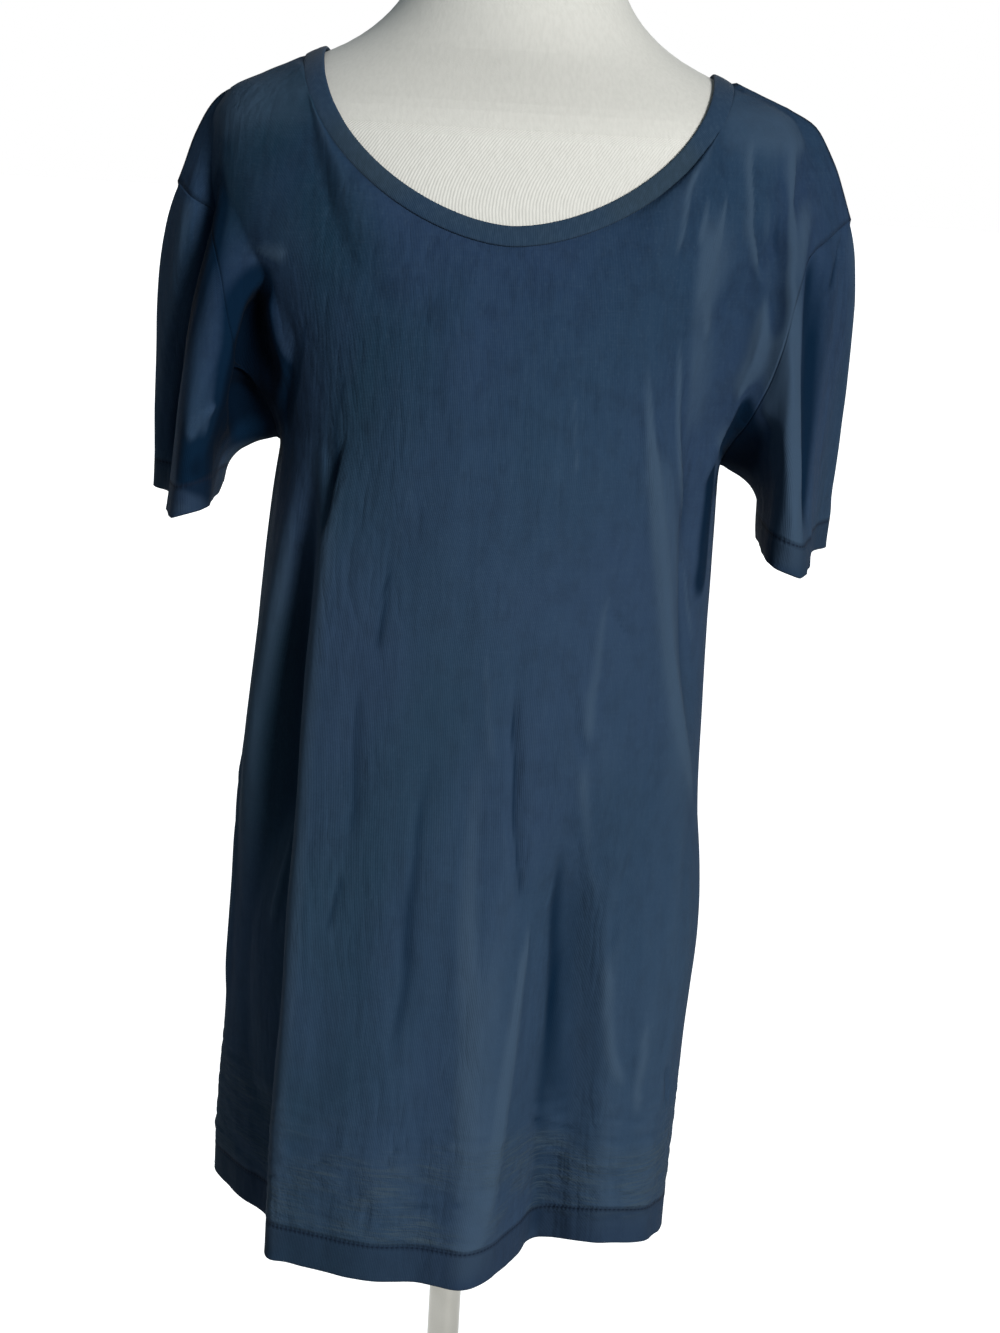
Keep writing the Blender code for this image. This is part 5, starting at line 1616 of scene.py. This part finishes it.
def binding_jersey():
    """The neck binding's jersey, a little greyer because it is stretched."""
    shader = Shader("binding_jersey", Sheen_Weight=0.03, Sheen_Roughness=0.5, Specular_IOR_Level=0.08)
    flat = shader.place(flat=True)
    along = shader.axis(flat, "X")
    ribs = (along * (2 * pi / WALE_PITCH)).math("SINE")
    broad = shader.noise(shader.place((16, 16, 16)), detail=2.0)
    streaks = shader.noise(shader.place((500, 500, 160)), detail=3.0)
    tone = shader.mix(shader.between(broad, 0.3, 0.7), NAVY, BINDING)
    tone = shader.mix(shader.between(streaks, 0.35, 0.8) * 0.35, tone, PALE_FIBRE_AND_LIGHT)
    normal = shader.bump(ribs * 0.7 + streaks, 0.00018, 0.6)
    shader.feed(Base_Color=tone, Roughness=0.80 + streaks * 0.15, Normal=normal)
    return shader.material


def form_cover():
    """The form's cream jersey cover, with fine upright ribs."""
    shader = Shader("cream_cover", Sheen_Weight=0.10, Sheen_Roughness=0.5, Specular_IOR_Level=0.2)
    flat = shader.place(flat=True)
    wander = (shader.noise(shader.place((30, 30, 60)), detail=2.0) - 0.5) * 0.0016
    ribs = ((shader.axis(flat, "X") + wander) * (2 * pi / RIB_PITCH)).math("SINE")
    fibre = shader.noise(shader.place((500, 500, 90)), detail=3.0, roughness=0.6)
    broad = shader.noise(shader.place((7, 7, 7)), detail=2.0)
    tone = shader.mix(shader.between(broad, 0.3, 0.7), CREAM, CREAM_GREY)
    # painted shade in the grooves between the ribs
    tone = shader.mix((0.5 - ribs * 0.5) * shader.between(fibre, 0.3, 0.75) * 0.40, tone, CREAM_SHADE)
    normal = shader.bump(ribs * 0.5 + fibre, 0.00030, 0.6)
    shader.feed(Base_Color=tone, Roughness=0.82 + fibre * 0.12, Normal=normal)
    return shader.material


def steel(name, brushed_round):
    """Bright warm plated steel, rubbed faintly along or round the piece."""
    shader = Shader(name, Metallic=1.0)
    stretch = (30, 30, 900) if brushed_round else (900, 900, 14)
    rubbed = shader.noise(shader.place(stretch), detail=3.0)
    smears = shader.noise(shader.place((12, 12, 9)), detail=3.0, roughness=0.6)
    tone = shader.mix(shader.between(smears, 0.35, 0.75), STEEL, STEEL_DULL)
    rough = 0.17 + rubbed * 0.07 + shader.between(smears, 0.45, 0.8) * 0.10
    shader.feed(Base_Color=tone, Roughness=rough, Normal=shader.bump(rubbed, 0.00003, 0.4))
    return shader.material


def plain_floor():
    shader = Shader("pale_floor", Roughness=0.9, Emission_Color=colour(1, 1, 1), Emission_Strength=FLOOR_GLOW)
    soft = shader.noise(shader.place((3, 3, 3)), detail=2.0)
    shader.feed(Base_Color=shader.mix(soft, *FLOOR_TONES))
    return shader.material


# ---------------------------------------------------------------- studio


def make_floor():
    bpy.ops.object.select_all(action="DESELECT")
    bpy.ops.mesh.primitive_plane_add(size=FLOOR_SIZE, location=(0, 0, -FLOOR_GAP))
    floor = bpy.context.object
    floor.name = "studio_floor"
    floor.data.materials.append(plain_floor())
    floor.visible_diffuse = False


def make_sun(name, way, strength, softness):
    lamp = bpy.data.lights.new(name, "SUN")
    lamp.energy = strength
    lamp.angle = radians(softness)
    sun = bpy.data.objects.new(name, lamp)
    sun.rotation_euler = Vector(way).to_track_quat("-Z", "Y").to_euler()
    bpy.context.scene.collection.objects.link(sun)


def make_light():
    """A surround that only looks white and lights weakly, a soft light in front and a weak one behind."""
    world = bpy.data.worlds.new("white surround")
    world.use_nodes = True
    tree = world.node_tree
    lighting = tree.nodes["Background"]
    lighting.inputs["Color"].default_value = colour(*SURROUND_TINT)
    lighting.inputs["Strength"].default_value = SURROUND
    seen = tree.nodes.new("ShaderNodeBackground")
    seen.inputs["Color"].default_value = colour(1, 1, 1)
    seen.inputs["Strength"].default_value = BACKGROUND
    paths = tree.nodes.new("ShaderNodeLightPath")
    either = tree.nodes.new("ShaderNodeMixShader")
    tree.links.new(paths.outputs["Is Camera Ray"], either.inputs["Fac"])
    tree.links.new(lighting.outputs["Background"], either.inputs[1])
    tree.links.new(seen.outputs["Background"], either.inputs[2])
    tree.links.new(either.outputs["Shader"], tree.nodes["World Output"].inputs["Surface"])
    bpy.context.scene.world = world
    make_sun("key", KEY_WAY, KEY_STRENGTH, KEY_SOFTNESS)
    make_sun("fill from behind", FILL_WAY, FILL_STRENGTH, FILL_SOFTNESS)
    bpy.context.scene.view_settings.view_transform = "Standard"


def make_camera():
    pitch, roll = radians(EYE_PITCH), radians(EYE_ROLL)
    ahead = Vector((0, cos(pitch), -sin(pitch)))
    up = Vector((0, sin(pitch), cos(pitch)))
    right = Vector((1, 0, 0))
    right, up = right * cos(roll) + up * sin(roll), up * cos(roll) - right * sin(roll)
    lens = bpy.data.cameras.new("eye")
    lens.lens = LENS
    lens.sensor_width = 36
    eye = bpy.data.objects.new("eye", lens)
    eye.matrix_world = Matrix.Translation(EYE) @ Matrix((right, up, -ahead)).transposed().to_4x4()
    bpy.context.scene.collection.objects.link(eye)
    bpy.context.scene.camera = eye


# ---------------------------------------------------------------- the whole


def attach(piece, node):
    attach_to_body(piece, "root")
    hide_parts(node)
    return piece


def main():
    make_camera()
    cover = attach(make_form(form_cover()), "form_torso")
    attach(make_pole(steel("steel_upright", False)), "pole")
    attach(make_foot(steel("steel_base", True)), "foot")
    attach(make_flange(steel("steel_plate", True)), "form_flange")
    body_cloth = jersey("navy_jersey_body", BODY_HEM)
    sleeve_cloth = jersey("navy_jersey_sleeves", SLEEVE_HEM_DEPTH)
    shirt = make_shirt(body_cloth)
    for name, piece in shirt.items():
        if name.startswith("sleeve"):
            piece.data.materials[0] = sleeve_cloth
        attach(piece, name)
    binding = attach(make_binding(binding_jersey()), "neckband")
    make_floor()
    make_light()


main()
